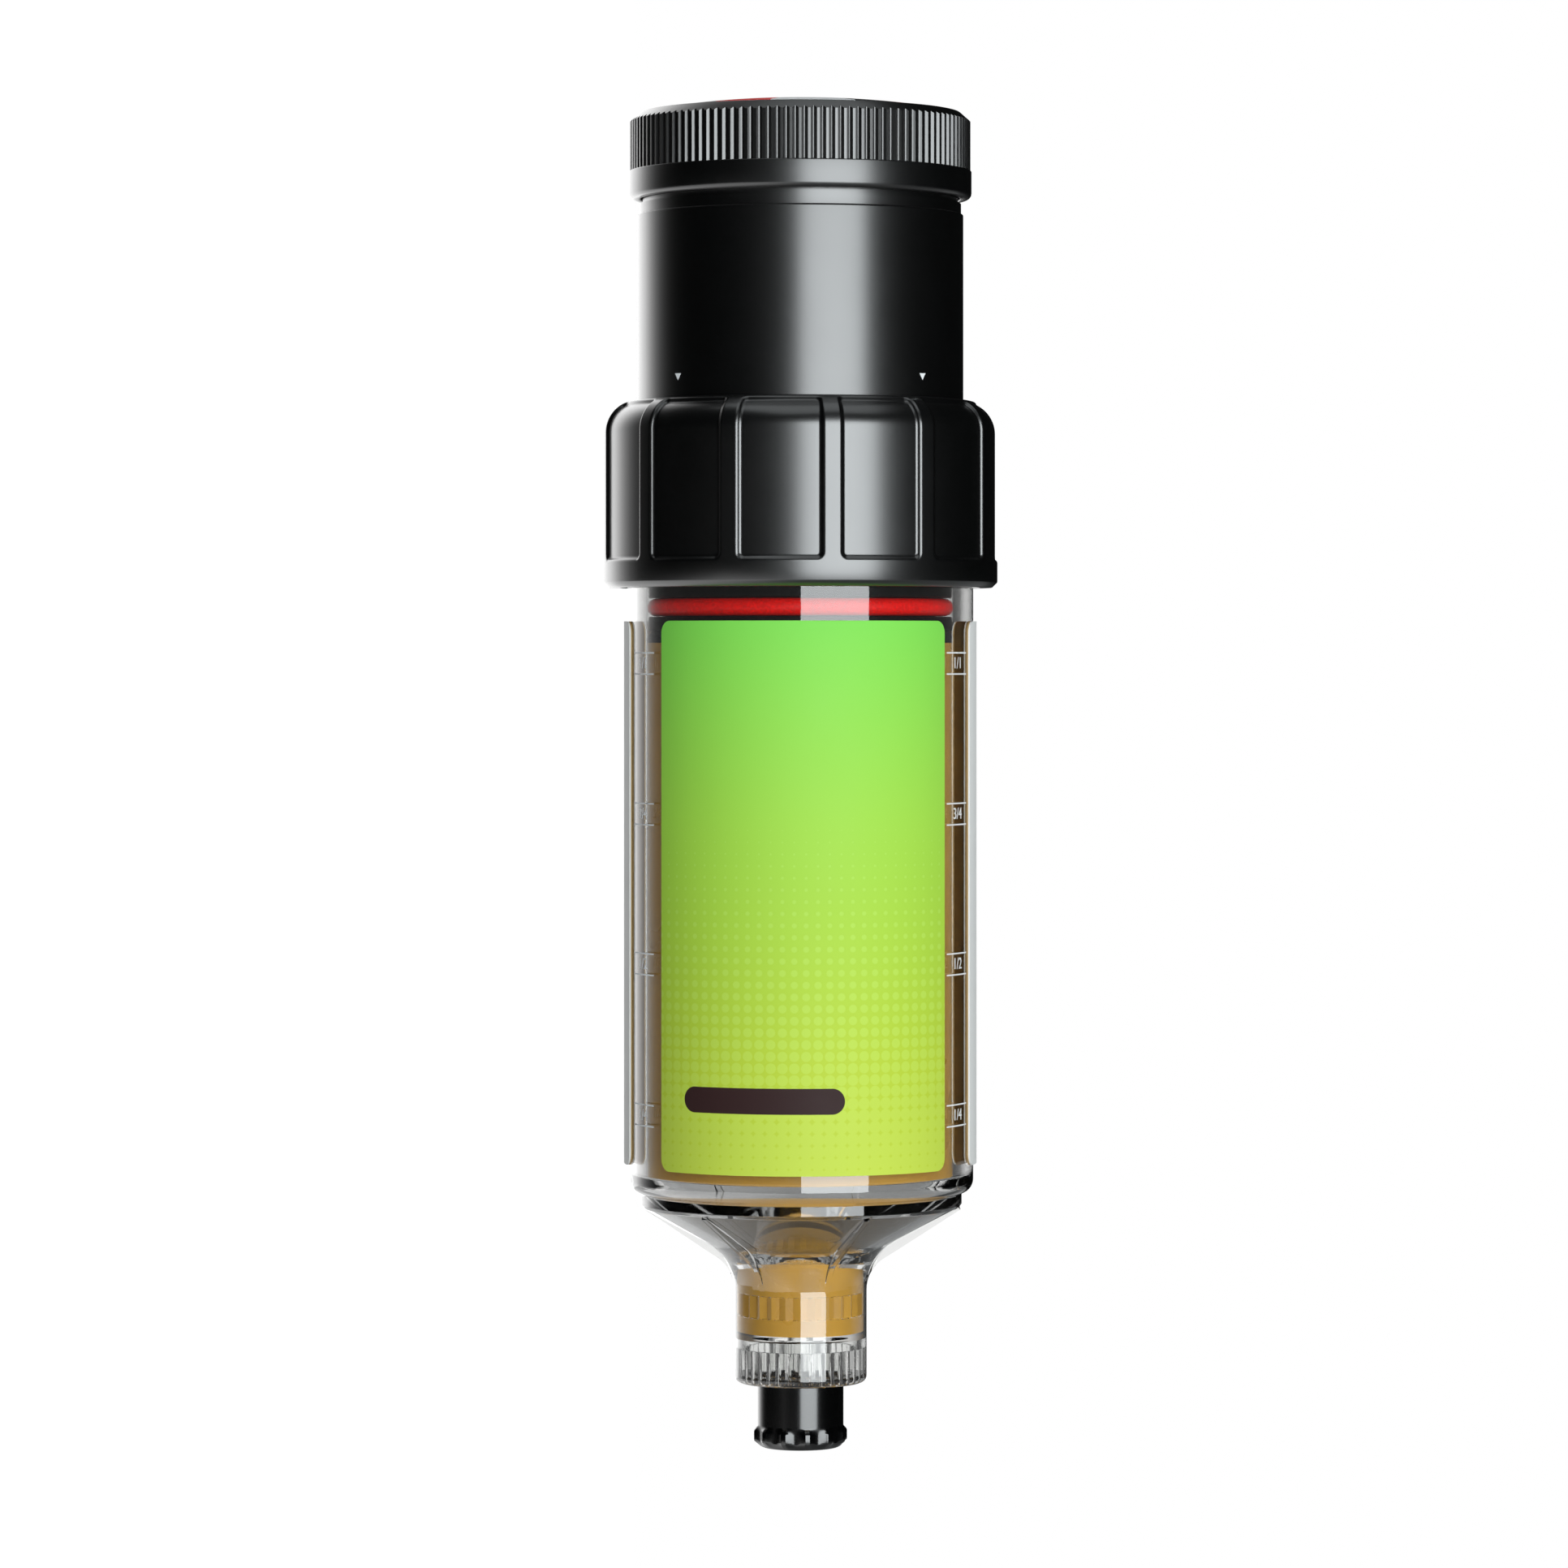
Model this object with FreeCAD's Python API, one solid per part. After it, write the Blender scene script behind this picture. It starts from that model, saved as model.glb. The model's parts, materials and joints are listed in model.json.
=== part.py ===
import FreeCAD, Part
import math
import os

# Automatic grease lubricator with a battery drive, a clear screw-on cartridge and an outlet cap.
# A motor turns a feed screw, which draws a piston down the cartridge and presses the grease out.
# Millimetres, +Z up along the axis, origin at the low end of the neck's straight wall.
# The front of the object faces -Y.

Vector = FreeCAD.Vector

# Clearances, radial or axial
running = 0.05
slip = 0.3
seat_gap = 0.1

# Outlet neck of the cartridge
neck_d = 24.1
neck_h = 15.5
neck_corner = 1.2
recess_d = 20.8
recess_depth = 8.0
serration_count = 36
serration_h = 5.5
serration_t = 0.5
serration_z = 0.8
outlet_floor_t = 0.9
orifice_d = 3.2
outlet_bore_d = 15.0
bore_rib_count = 20
bore_rib_t = 0.5
bore_rib_h = 4.0
bore_rib_z = 10.8

# Outlet nipple, with a G 1/4 thread
outlet_thread_d = 13.157
nipple_drop = 7.9
nipple_rise = 3.0
nipple_neck_d = 11.4
nipple_bore_d = 6.0

# Spider that carries the foot of the feed screw
spider_z = 16.3
spider_h = 4.5
spider_hub_d = 6.6
spider_arm_t = 1.3
spider_arms = 3
screw_pin_d = 3.6
screw_pin_l = 3.6

# Funnel and barrel of the cartridge
funnel_fillet = 9.92
funnel_angle = 29.3
funnel_wall = 3.0
funnel_rim_inset = 2.1
funnel_rim_h = 2.4
shoulder_h = 2.4
fin_count = 6
fin_t = 1.0
fin_fillet = 6.8
fin_angle = 33.0
fin_turn_angle = -36.0
barrel_d = 62.8
barrel_wall = 3.6
barrel_h = 130.5

# Labels on the barrel, with azimuths counted from the front, positive to the right
label_t = 0.6
label_z = 38.7
label_h = 98.1
label_corner = 2.2
front_label_left_angle = -50.7
front_label_right_angle = 53.7
rear_label_left_angle = 72.5
rear_label_right_angle = 285.8

# Piston, at the top of its travel
piston_h = 16.0
piston_plate_t = 3.0
piston_skirt_t = 3.4
piston_rib_t = 1.4
piston_rib_count = 6
ring_section_d = 3.2
ring_groove_h = 3.4
ring_groove_z = 4.7
wiper_h = 2.2
wiper_w = 3.2
nut_d = 14.0
nut_flange_d = 18.0
nut_flange_t = 2.0
hub_wall = 2.0

# Feed screw
feed_screw_d = 8.0
screw_head_d = 12.0
screw_head_h = 8.6
screw_head_gap = 0.5
screw_top_gap = 0.5
socket_flats = 5.2
socket_depth = 7.6

# Union ring
ring_wall = 3.5
ring_drop = 23.4
ring_head_t = 7.3
ring_chamfer = 0.9
ring_shoulder = 5.9
thread_room = 0.9
pocket_count = 12
pocket_angle = 26.2
pocket_depth = 0.65
pocket_foot = 4.4
pocket_corner = 1.3
pocket_reach_angle = 74.0
pocket_turn_angle = 9.2

# Drive housing
housing_inset = 1.8
housing_wall = 2.8
gear_ledge_w = 3.8
gear_room_h = 7.3
flange_t = 3.0
step_inset = 0.4
step_h = 2.9
housing_neck_wall = 1.8
housing_neck_h = 10.8

# Base of the drive, which plugs into the mouth of the cartridge
base_t = 4.7
spigot_l = 9.0
spigot_t = 3.6
base_boss_d = 20.0
base_lip_t = 0.9
screw_boss_d = 5.6
mouth_seal_d = 2.2
mouth_seal_drop = 2.6
shaft_seal_t = 3.0
bearing_d = 16.0
bearing_t = 4.0
bearing_race_t = 1.3
shaft_d = 8.0
driver_flats = 4.9
driver_l = 7.0

# Gear stage between the motor and the feed screw
gear_module = 0.5
gear_teeth = 42
pinion_teeth = 14
pressure_angle = 25.0
backlash = 0.12
gear_face = 4.0
gear_lift = 0.6
gear_web_t = 1.6
gear_rim_t = 1.8
gear_hub_d = 12.0
pinion_shaft_d = 3.0
plate_t = 2.0
bushing_d = 9.0
bushing_pin_d = 5.0
plate_screw_d = 2.0
screw_cap_d = 3.6
screw_cap_h = 1.4
screw_slot_w = 0.5
screw_grip = 4.0

# Gear motor
motor_w = 12.0
motor_t = 10.0
gearbox_h = 9.0
motor_can_h = 15.0
motor_cap_h = 1.5
motor_boss_d = 4.4
motor_boss_h = 1.2

# Battery
cell_d = 17.0
cell_h = 34.5
cell_margin = 0.25
cell_nub_d = 6.4
cell_nub_h = 1.0
cell_gap = 0.15
holder_floor_t = 1.6
cradle_wall = 1.0
cradle_h = 24.0
contact_t = 0.4
contact_w = 5.0
contact_l = 10.0
post_d = 4.2
post_inset = 3.6

# Electronics and the face of the drive
board_t = 1.6
board_margin = 0.8
board_gap = 4.1
panel_t = 1.6
panel_margin = 0.2
panel_drop = 0.5
panel_skirt_t = 1.4
overlay_t = 0.3
overlay_margin = 0.8
lcd_w = 24.0
lcd_h = 13.0
lcd_t = 3.2
lcd_y = -5.5
window_margin = 1.2
button_d = 8.0
button_y = 12.0
button_travel = 0.6
button_flange_t = 0.8
button_flange_w = 1.0
button_stem_d = 3.0
button_proud = 0.3
switch_w = 6.0
switch_t = 1.2
led_d = 3.0
led_x = 13.0
led_y = 9.0
led_proud = 0.5

# Cover with its knurled grip
cover_wall = 2.1
cover_headroom = 0.6
cover_band_h = 5.0
cover_corner = 1.8
cover_gap = 0.4
knurl_inset = 0.2
knurl_teeth = 120
knurl_depth = 0.7
knurl_top = 1.4
cover_top_chamfer = 1.3
knurl_land = 0.45
cover_ledge_t = 2.0
cover_ledge_w = 3.2
cover_seal_d = 1.4
cover_seal_z = 2.8
lens_margin = 1.0
lens_edge_t = 1.8
lens_dome_h = 2.3
lens_t = 1.9
lens_foot_w = 4.0
gasket_t = 0.4

# Outlet cap
cap_d = 15.7
cap_floor_t = 3.0
cap_rim_d = 17.1
cap_rim_h = 1.7
cap_rim_z = 1.3
cap_rim_slope = 0.8
cap_foot_d = 14.6
cap_flange_d = 18.4
cap_flange_t = 1.0
cap_rise = 1.3
cap_lug_count = 12
cap_flute_w = 2.2
cap_turn_angle = -6.0
washer_t = 0.7

# Places worked out from the sizes
slope = math.radians(funnel_angle)
neck_r = neck_d / 2
fillet_end_r = neck_r + funnel_fillet * (1 - math.cos(math.pi / 2 - slope))
fillet_end_z = neck_h + funnel_fillet * math.sin(math.pi / 2 - slope)
barrel_r = barrel_d / 2
bore_r = barrel_r - barrel_wall
rim_r = barrel_r - funnel_rim_inset
rim_z = fillet_end_z + (rim_r - fillet_end_r) * math.tan(slope)
shoulder_z = rim_z + funnel_rim_h
barrel_z = shoulder_z + shoulder_h
mouth_z = barrel_z + barrel_h
outlet_bore_r = outlet_bore_d / 2
foot_z = -neck_corner
recess_top = foot_z + recess_depth
thread_foot = foot_z - nipple_drop
outlet_z = recess_top + outlet_floor_t
cone_z = rim_z - (rim_r - outlet_bore_r) * math.tan(slope) + funnel_wall / math.cos(slope)
floor_z = cone_z + (bore_r - outlet_bore_r) * math.tan(slope)
flange_z = mouth_z + seat_gap
flange_top = flange_z + flange_t
base_z = flange_z - base_t
boss_low = flange_z - bearing_t - shaft_seal_t - base_lip_t
head_top = boss_low - screw_top_gap
head_z = head_top - screw_head_h
piston_top = head_z - screw_head_gap
piston_z = piston_top - piston_h
piston_r = bore_r - slip
spigot_r = bore_r - slip
screw_foot = spider_z + spider_h
ring_bore_r = barrel_r + thread_room
ring_r = ring_bore_r + ring_wall
ring_z = mouth_z - ring_drop
ring_seat = flange_top + seat_gap
ring_top = ring_seat + ring_head_t
housing_r = barrel_r - housing_inset
ring_hole_r = housing_r + slip
ring_bend = min(ring_shoulder, ring_r - ring_hole_r)
flange_r = ring_bore_r - slip
step_r = housing_r - step_inset
housing_bore_r = housing_r - housing_wall
housing_neck_r = housing_bore_r + housing_neck_wall
gear_room_r = housing_bore_r - gear_ledge_w
ledge_z = flange_z + gear_room_h
plate_top = ledge_z + plate_t
gear_z = flange_z + gear_lift
gear_top = gear_z + gear_face
gear_distance = gear_module * (gear_teeth + pinion_teeth) / 2
base_screw_radius = gear_room_r - screw_boss_d / 2 + slip
plate_screw_radius = housing_bore_r - screw_cap_d / 2 - slip
cell_radius = housing_bore_r - slip - cradle_wall - cell_gap - cell_margin - cell_d / 2
cell_z = plate_top + holder_floor_t
cell_top = cell_z + contact_t + cell_h + cell_nub_h
board_z = cell_top + board_gap
board_top = board_z + board_t
board_r = housing_bore_r - board_margin
post_radius = board_r - post_inset
panel_r = housing_bore_r - panel_margin
panel_z = board_top + lcd_t
panel_top = panel_z + panel_t
overlay_top = panel_top + overlay_t
neck_top = panel_top + panel_drop
cover_z = neck_top - housing_neck_h
step_z = cover_z - step_h
cover_bore_r = housing_neck_r + cover_gap
cover_r = cover_bore_r + cover_wall
knurl_r = cover_r - knurl_inset
cover_under = neck_top + cover_headroom
cover_ledge = cover_under + cover_ledge_t
lens_z = cover_ledge + gasket_t
cover_top = lens_z + lens_edge_t
lens_r = cover_bore_r - lens_margin
cap_z = thread_foot - washer_t - seat_gap - cap_floor_t
cap_top = foot_z + cap_rise


def rod(radius, low, high, x=0.0, y=0.0):
    return Part.makeCylinder(radius, high - low, Vector(x, y, low))


def tube(outer, inner, low, high, x=0.0, y=0.0):
    return rod(outer, low, high, x, y).cut(rod(inner, low, high, x, y))


def block(width, depth, low, high, x=0.0, y=0.0):
    corner = Vector(x - width / 2, y - depth / 2, low)
    return Part.makeBox(width, depth, high - low, corner)


def section(start, *steps):
    """A closed face in the r-z plane. A step is the next point, or an arc's middle and end."""
    here = Vector(start[0], 0, start[1])
    first = here
    edges = []
    for step in steps:
        if isinstance(step[0], tuple):
            middle = Vector(step[0][0], 0, step[0][1])
            there = Vector(step[1][0], 0, step[1][1])
            edges.append(Part.Arc(here, middle, there).toShape())
        else:
            there = Vector(step[0], 0, step[1])
            if (there - here).Length < 1e-6:
                continue
            edges.append(Part.makeLine(here, there))
        here = there
    if (first - here).Length > 1e-6:
        edges.append(Part.makeLine(here, first))
    return Part.Face(Part.Wire(edges))


def turned(start, *steps, angle=360.0):
    face = section(start, *steps)
    return face.revolve(Vector(0, 0, 0), Vector(0, 0, 1), angle)


def on_circle(centre_r, centre_z, radius, degrees):
    angle = math.radians(degrees)
    return (centre_r + radius * math.cos(angle), centre_z + radius * math.sin(angle))


def spun(shape, degrees):
    copy = shape.copy()
    copy.rotate(Vector(0, 0, 0), Vector(0, 0, 1), degrees)
    return copy


def around(shape, count, start=0.0):
    return [spun(shape, start + 360.0 * i / count) for i in range(count)]


def joined(shapes):
    return shapes[0].multiFuse(shapes[1:]).removeSplitter()


def cut_all(shape, tools):
    return shape.cut(Part.makeCompound(tools))


def corner_edges(shape, heights):
    """Straight edges that lie level at those heights, which are the corners of a label."""
    found = []
    for edge in shape.Edges:
        if edge.Curve.TypeId == "Part::GeomLine":
            ends = [vertex.Z for vertex in edge.Vertexes]
            if any(all(abs(end - z) < 1e-6 for end in ends) for z in heights):
                found.append(edge)
    return found


def azimuth(degrees):
    """Turns an azimuth counted from the front into an angle about +Z from +X."""
    return degrees - 90.0


def hexagon(flats, low, high):
    radius = flats / math.sqrt(3)
    corners = []
    for i in range(7):
        angle = math.radians(60 * i)
        corners.append(Vector(radius * math.cos(angle), radius * math.sin(angle), low))
    return Part.Face(Part.makePolygon(corners)).extrude(Vector(0, 0, high - low))


def torus(ring_radius, section_radius, z):
    return Part.makeTorus(ring_radius, section_radius, Vector(0, 0, z))


def funnel_outside():
    """Outer form of the cartridge, from the neck's lower face to the mouth."""
    corner = neck_corner
    turn = 90.0 - funnel_angle
    centre_r = neck_r + funnel_fillet
    shoulder_mid = (barrel_r - 0.3 * (barrel_r - rim_r), shoulder_z + 0.42 * shoulder_h)
    return turned(
        (0, foot_z),
        (neck_r - corner, foot_z),
        (on_circle(neck_r - corner, 0, corner, -45), (neck_r, 0)),
        (neck_r, neck_h),
        (on_circle(centre_r, neck_h, funnel_fillet, 180 - turn / 2), (fillet_end_r, fillet_end_z)),
        (rim_r, rim_z),
        (rim_r, shoulder_z),
        (shoulder_mid, (barrel_r, barrel_z)),
        (barrel_r, mouth_z),
        (0, mouth_z),
    )


def grease_room(top):
    """Hollow of the cartridge, from the outlet floor up to a height."""
    return turned(
        (0, outlet_z),
        (outlet_bore_r, outlet_z),
        (outlet_bore_r, cone_z),
        (bore_r, floor_z),
        (bore_r, top),
        (0, top),
    )


def funnel_fins():
    """Thin stiffening fins outside the funnel, steeper than its wall and highest at its foot."""
    turn = 90.0 - fin_angle
    centre_r = neck_r + fin_fillet
    low_end = on_circle(centre_r, neck_h, fin_fillet, 180 - turn)
    high_z = low_end[1] + (rim_r - low_end[0]) * math.tan(math.radians(fin_angle))
    in_wall = on_circle(neck_r + funnel_fillet, neck_h, funnel_fillet + funnel_wall / 2,
                        135 + funnel_angle / 2)
    face = section(
        (neck_r - fin_t, neck_h),
        (neck_r, neck_h),
        (on_circle(centre_r, neck_h, fin_fillet, 180 - turn / 2), low_end),
        (rim_r, high_z),
        (rim_r, shoulder_z),
        (rim_r - fin_t, shoulder_z),
        (fillet_end_r, fillet_end_z + funnel_wall / 2),
        in_wall,
    )
    face.translate(Vector(0, -fin_t / 2, 0))
    fin = face.extrude(Vector(0, fin_t, 0))
    return around(fin, fin_count, azimuth(fin_turn_angle))


def cut_teeth(ring_radius, depth, count, low, high, point=0.45):
    """Pointed ribs that stand inwards from a bore, as wedges of that length."""
    pitch = 2 * math.pi * ring_radius / count
    half = pitch * point
    root = ring_radius + depth / 2
    tip = ring_radius - depth
    face = Part.Face(Part.makePolygon([
        Vector(root, -half, low), Vector(tip, 0, low), Vector(root, half, low),
        Vector(root, -half, low)]))
    rib = face.extrude(Vector(0, 0, high - low))
    return around(rib, count)


def spider():
    """Three arms and a hub moulded across the outlet bore."""
    top = spider_z + spider_h
    hub = rod(spider_hub_d / 2, spider_z, top)
    arm = block(outlet_bore_r + funnel_wall, spider_arm_t, spider_z, top,
                x=(outlet_bore_r + funnel_wall) / 2)
    return joined([hub] + around(arm, spider_arms, azimuth(0)))


def screw_pin_hole():
    low = screw_foot - screw_pin_l - seat_gap
    return rod(screw_pin_d / 2 + running, low, screw_foot)


def cartridge_shell():
    hollow = grease_room(mouth_z).cut(spider())
    ribs = cut_teeth(outlet_bore_r, bore_rib_t, bore_rib_count, bore_rib_z,
                     bore_rib_z + bore_rib_h)
    hollow = cut_all(hollow, ribs)
    low = foot_z + serration_z
    serrations = cut_teeth(recess_d / 2, serration_t, serration_count, low, low + serration_h)
    recess = cut_all(rod(recess_d / 2, foot_z, recess_top), serrations)
    thread_top = foot_z + nipple_rise
    nipple = joined([
        rod(outlet_thread_d / 2, thread_foot, thread_top),
        rod(nipple_neck_d / 2, thread_top, recess_top),
    ])
    shell = joined([funnel_outside()] + funnel_fins())
    shell = shell.cut(hollow).cut(recess)
    shell = shell.fuse(nipple)
    shell = shell.cut(rod(nipple_bore_d / 2, thread_foot, recess_top))
    shell = shell.cut(rod(orifice_d / 2, recess_top - outlet_floor_t, outlet_z))
    return shell.cut(screw_pin_hole()).removeSplitter()


def label(start, end):
    inner = barrel_r + running / 2
    outer = barrel_r + label_t
    top = label_z + label_h
    sheet = turned((inner, label_z), (outer, label_z), (outer, top), (inner, top),
                   angle=end - start)
    sheet = sheet.makeFillet(label_corner, corner_edges(sheet, [label_z, top]))
    return spun(sheet, azimuth(start))


def grease_fill():
    outer = rod(bore_r - running, floor_z, piston_z)
    return outer.cut(rod(feed_screw_d / 2 + slip, floor_z, piston_z))


def grease_outlet():
    """Grease in the funnel and the neck, around the spider and the foot of the screw."""
    top = floor_z
    waist = outlet_bore_r - bore_rib_t - running
    low = outlet_z + running
    body = turned(
        (0, low),
        (outlet_bore_r - running, low),
        (outlet_bore_r - running, bore_rib_z),
        (waist, bore_rib_z),
        (waist, bore_rib_z + bore_rib_h),
        (outlet_bore_r - running, bore_rib_z + bore_rib_h),
        (outlet_bore_r - running, cone_z + running),
        (bore_r - running, floor_z),
        (0, top),
    )
    body = body.cut(spider())
    return body.cut(rod(feed_screw_d / 2 + slip, screw_foot, top))


def piston():
    """Cup with a plate, a skirt grooved for its ring, a hub for the nut and radial ribs."""
    groove_low = piston_z + ring_groove_z
    groove_high = groove_low + ring_groove_h
    groove_r = piston_r + slip - ring_section_d - seat_gap
    wiper_r = bore_r - wiper_w
    inner_r = groove_r - piston_skirt_t
    plate = piston_z + piston_plate_t
    body = turned(
        (feed_screw_d / 2 + slip, piston_z),
        (wiper_r, piston_z),
        (wiper_r, piston_z + wiper_h),
        (piston_r, piston_z + wiper_h),
        (piston_r, groove_low),
        (groove_r, groove_low),
        (groove_r, groove_high),
        (piston_r, groove_high),
        (piston_r, piston_top),
        (inner_r, piston_top),
        (inner_r, plate),
        (feed_screw_d / 2 + slip, plate),
    )
    hub = tube(nut_d / 2 + hub_wall, nut_d / 2, plate, piston_top - nut_flange_t)
    rib_length = inner_r - nut_d / 2
    rib = block(rib_length, piston_rib_t, plate, piston_top - nut_flange_t,
                x=nut_d / 2 + rib_length / 2 + hub_wall / 2)
    ribs = around(rib, piston_rib_count)
    return joined([body, hub] + ribs).cut(rod(nut_d / 2, plate, piston_top))


def piston_ring():
    z = piston_z + ring_groove_z + ring_groove_h / 2
    return torus(bore_r - running - ring_section_d / 2, ring_section_d / 2, z)


def wiper_seal():
    """Square ring under the piston, with a lip that scrapes the wall."""
    inner = bore_r - wiper_w + running
    outer = bore_r - running
    top = piston_z + wiper_h
    lip = wiper_h * 0.4
    return turned((inner, piston_z), (outer, piston_z), (outer, piston_z + lip),
                  (outer - lip, top), (inner, top))


def piston_nut():
    plate = piston_z + piston_plate_t
    flange_z0 = piston_top - nut_flange_t
    body = tube(nut_d / 2 - running / 2, feed_screw_d / 2 + running, plate, flange_z0)
    flange = tube(nut_flange_d / 2, feed_screw_d / 2 + running, flange_z0, piston_top)
    return joined([body, flange])


def feed_screw():
    pin = rod(screw_pin_d / 2, screw_foot - screw_pin_l, screw_foot + seat_gap)
    shaft = rod(feed_screw_d / 2, screw_foot + seat_gap, head_z)
    head = rod(screw_head_d / 2, head_z, head_top)
    socket = hexagon(socket_flats, head_top - socket_depth, head_top)
    return joined([pin, shaft, head]).cut(socket)


def pocket_prism(low):
    """Upright prism with two rounded lower corners, which shapes the foot of a recess."""
    half = ring_r * math.sin(math.radians(pocket_angle / 2)) + running
    high = ring_top + pocket_depth
    near = ring_bore_r - thread_room
    corner = pocket_corner
    bend = corner * (1 - math.sqrt(0.5))

    def place(y, z):
        return Vector(near, y, z)

    edges = [
        Part.makeLine(place(-half, high), place(-half, low + corner)),
        Part.Arc(place(-half, low + corner), place(-half + bend, low + bend),
                 place(-half + corner, low)).toShape(),
        Part.makeLine(place(-half + corner, low), place(half - corner, low)),
        Part.Arc(place(half - corner, low), place(half - bend, low + bend),
                 place(half, low + corner)).toShape(),
        Part.makeLine(place(half, low + corner), place(half, high)),
        Part.makeLine(place(half, high), place(-half, high)),
    ]
    return Part.Face(Part.Wire(edges)).extrude(Vector(ring_r, 0, 0))


def pocket_tool():
    """One recess of the union ring, which runs up its side and over its shoulder."""
    low = ring_z + pocket_foot
    bend_z = ring_top - ring_bend
    bend_r = ring_r - ring_bend
    near = ring_bend - pocket_depth
    far = ring_bend + 3 * pocket_depth
    half = pocket_reach_angle / 2
    tool = turned(
        (ring_r - pocket_depth, low),
        (ring_r + 3 * pocket_depth, low),
        (ring_r + 3 * pocket_depth, bend_z),
        (on_circle(bend_r, bend_z, far, half), on_circle(bend_r, bend_z, far, pocket_reach_angle)),
        on_circle(bend_r, bend_z, near, pocket_reach_angle),
        (on_circle(bend_r, bend_z, near, half), (ring_r - pocket_depth, bend_z)),
        angle=pocket_angle,
    )
    return spun(tool, -pocket_angle / 2).common(pocket_prism(low))


def lock_ring():
    bend_z = ring_top - ring_bend
    bend_r = ring_r - ring_bend
    body = turned(
        (ring_bore_r, ring_z),
        (ring_r - ring_chamfer, ring_z),
        (ring_r, ring_z + ring_chamfer),
        (ring_r, bend_z),
        (on_circle(bend_r, bend_z, ring_bend, 45), (bend_r, ring_top)),
        (ring_hole_r, ring_top),
        (ring_hole_r, ring_seat),
        (ring_bore_r, ring_seat),
    )
    start = azimuth(pocket_turn_angle) + 180.0 / pocket_count
    return cut_all(body, around(pocket_tool(), pocket_count, start))


def base_screw_places():
    return [45.0, 135.0, 225.0, 315.0]


def plate_screw_places():
    return [60.0, 120.0, 240.0, 300.0]


def at_places(shape, radius, places):
    shape.translate(Vector(radius, 0, 0))
    return [spun(shape, angle) for angle in places]


def drive_housing():
    """Tube with a flange under the union ring, a ledge for the gear plate and four bosses."""
    body = turned(
        (gear_room_r, flange_z),
        (flange_r, flange_z),
        (flange_r, flange_top),
        (housing_r, flange_top),
        (housing_r, step_z),
        (step_r, step_z),
        (step_r, cover_z - seat_gap),
        (housing_neck_r, cover_z - seat_gap),
        (housing_neck_r, neck_top),
        (housing_bore_r, neck_top),
        (housing_bore_r, ledge_z),
        (gear_room_r, ledge_z),
    )
    boss = rod(screw_boss_d / 2, flange_z, ledge_z)
    body = joined([body] + at_places(boss, base_screw_radius, base_screw_places()))
    low_hole = rod(plate_screw_d / 2, flange_z, flange_z + screw_grip)
    high_hole = rod(plate_screw_d / 2, ledge_z - screw_grip, ledge_z)
    holes = at_places(low_hole, base_screw_radius, base_screw_places())
    holes += at_places(high_hole, plate_screw_radius, plate_screw_places())
    return cut_all(body, holes)


def drive_base():
    """Plug under the housing: plate, spigot grooved for its seal, boss for bearing and seal."""
    groove_r = bore_r - running - mouth_seal_d - seat_gap
    groove_top = base_z - mouth_seal_drop + mouth_seal_d / 2 + seat_gap
    groove_low = groove_top - mouth_seal_d - 2 * seat_gap
    inner = spigot_r - spigot_t
    low = base_z - spigot_l
    hole_r = shaft_d / 2 + slip
    body = turned(
        (hole_r, boss_low),
        (base_boss_d / 2, boss_low),
        (base_boss_d / 2, base_z),
        (inner, base_z),
        (inner, low),
        (spigot_r, low),
        (spigot_r, groove_low),
        (groove_r, groove_low),
        (groove_r, groove_top),
        (spigot_r, groove_top),
        (spigot_r, flange_z),
        (bearing_d / 2, flange_z),
        (bearing_d / 2, boss_low + base_lip_t),
        (hole_r, boss_low + base_lip_t),
    )
    hole = rod(plate_screw_d / 2, base_z, flange_z)
    return cut_all(body, at_places(hole, base_screw_radius, base_screw_places()))


def mouth_seal():
    return torus(bore_r - running - mouth_seal_d / 2, mouth_seal_d / 2, base_z - mouth_seal_drop)


def shaft_seal():
    """Lip seal: a body with a groove in its upper face that frees the lip."""
    low = boss_low + base_lip_t
    outer = bearing_d / 2 - running / 2
    lip = shaft_d / 2 + running
    body = tube(outer, lip, low, low + shaft_seal_t)
    middle = (outer + lip) / 2
    groove = tube(middle + 0.8, middle - 0.8, low + shaft_seal_t / 2, low + shaft_seal_t)
    return body.cut(groove)


def output_bearing():
    """Ball bearing: two races in one group with a shield between them."""
    low = flange_z - bearing_t
    outer = bearing_d / 2 - running / 2
    inner = shaft_d / 2 + running
    body = tube(outer, inner, low, flange_z)
    shield = tube(outer - bearing_race_t, inner + bearing_race_t, flange_z - slip, flange_z)
    return body.cut(shield)


def cap_screws(z, grip, radius, places, head_up):
    """Cheese-head screws whose heads bear on z, as a group of separate solids."""
    shank_r = plate_screw_d / 2 - running
    if head_up:
        shank = rod(shank_r, z - grip, z)
        head = rod(screw_cap_d / 2, z, z + screw_cap_h)
        slot_low = z + screw_cap_h / 2
    else:
        shank = rod(shank_r, z, z + grip)
        head = rod(screw_cap_d / 2, z - screw_cap_h, z)
        slot_low = z - screw_cap_h
    slot = block(screw_cap_d, screw_slot_w, slot_low, slot_low + screw_cap_h / 2)
    screw = joined([shank, head]).cut(slot)
    return Part.makeCompound(at_places(screw, radius, places))


def base_screws():
    grip = base_t + screw_grip - slip
    return cap_screws(base_z, grip, base_screw_radius, base_screw_places(), False)


def plate_screws():
    grip = plate_t + screw_grip - slip
    return cap_screws(plate_top, grip, plate_screw_radius, plate_screw_places(), True)


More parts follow.
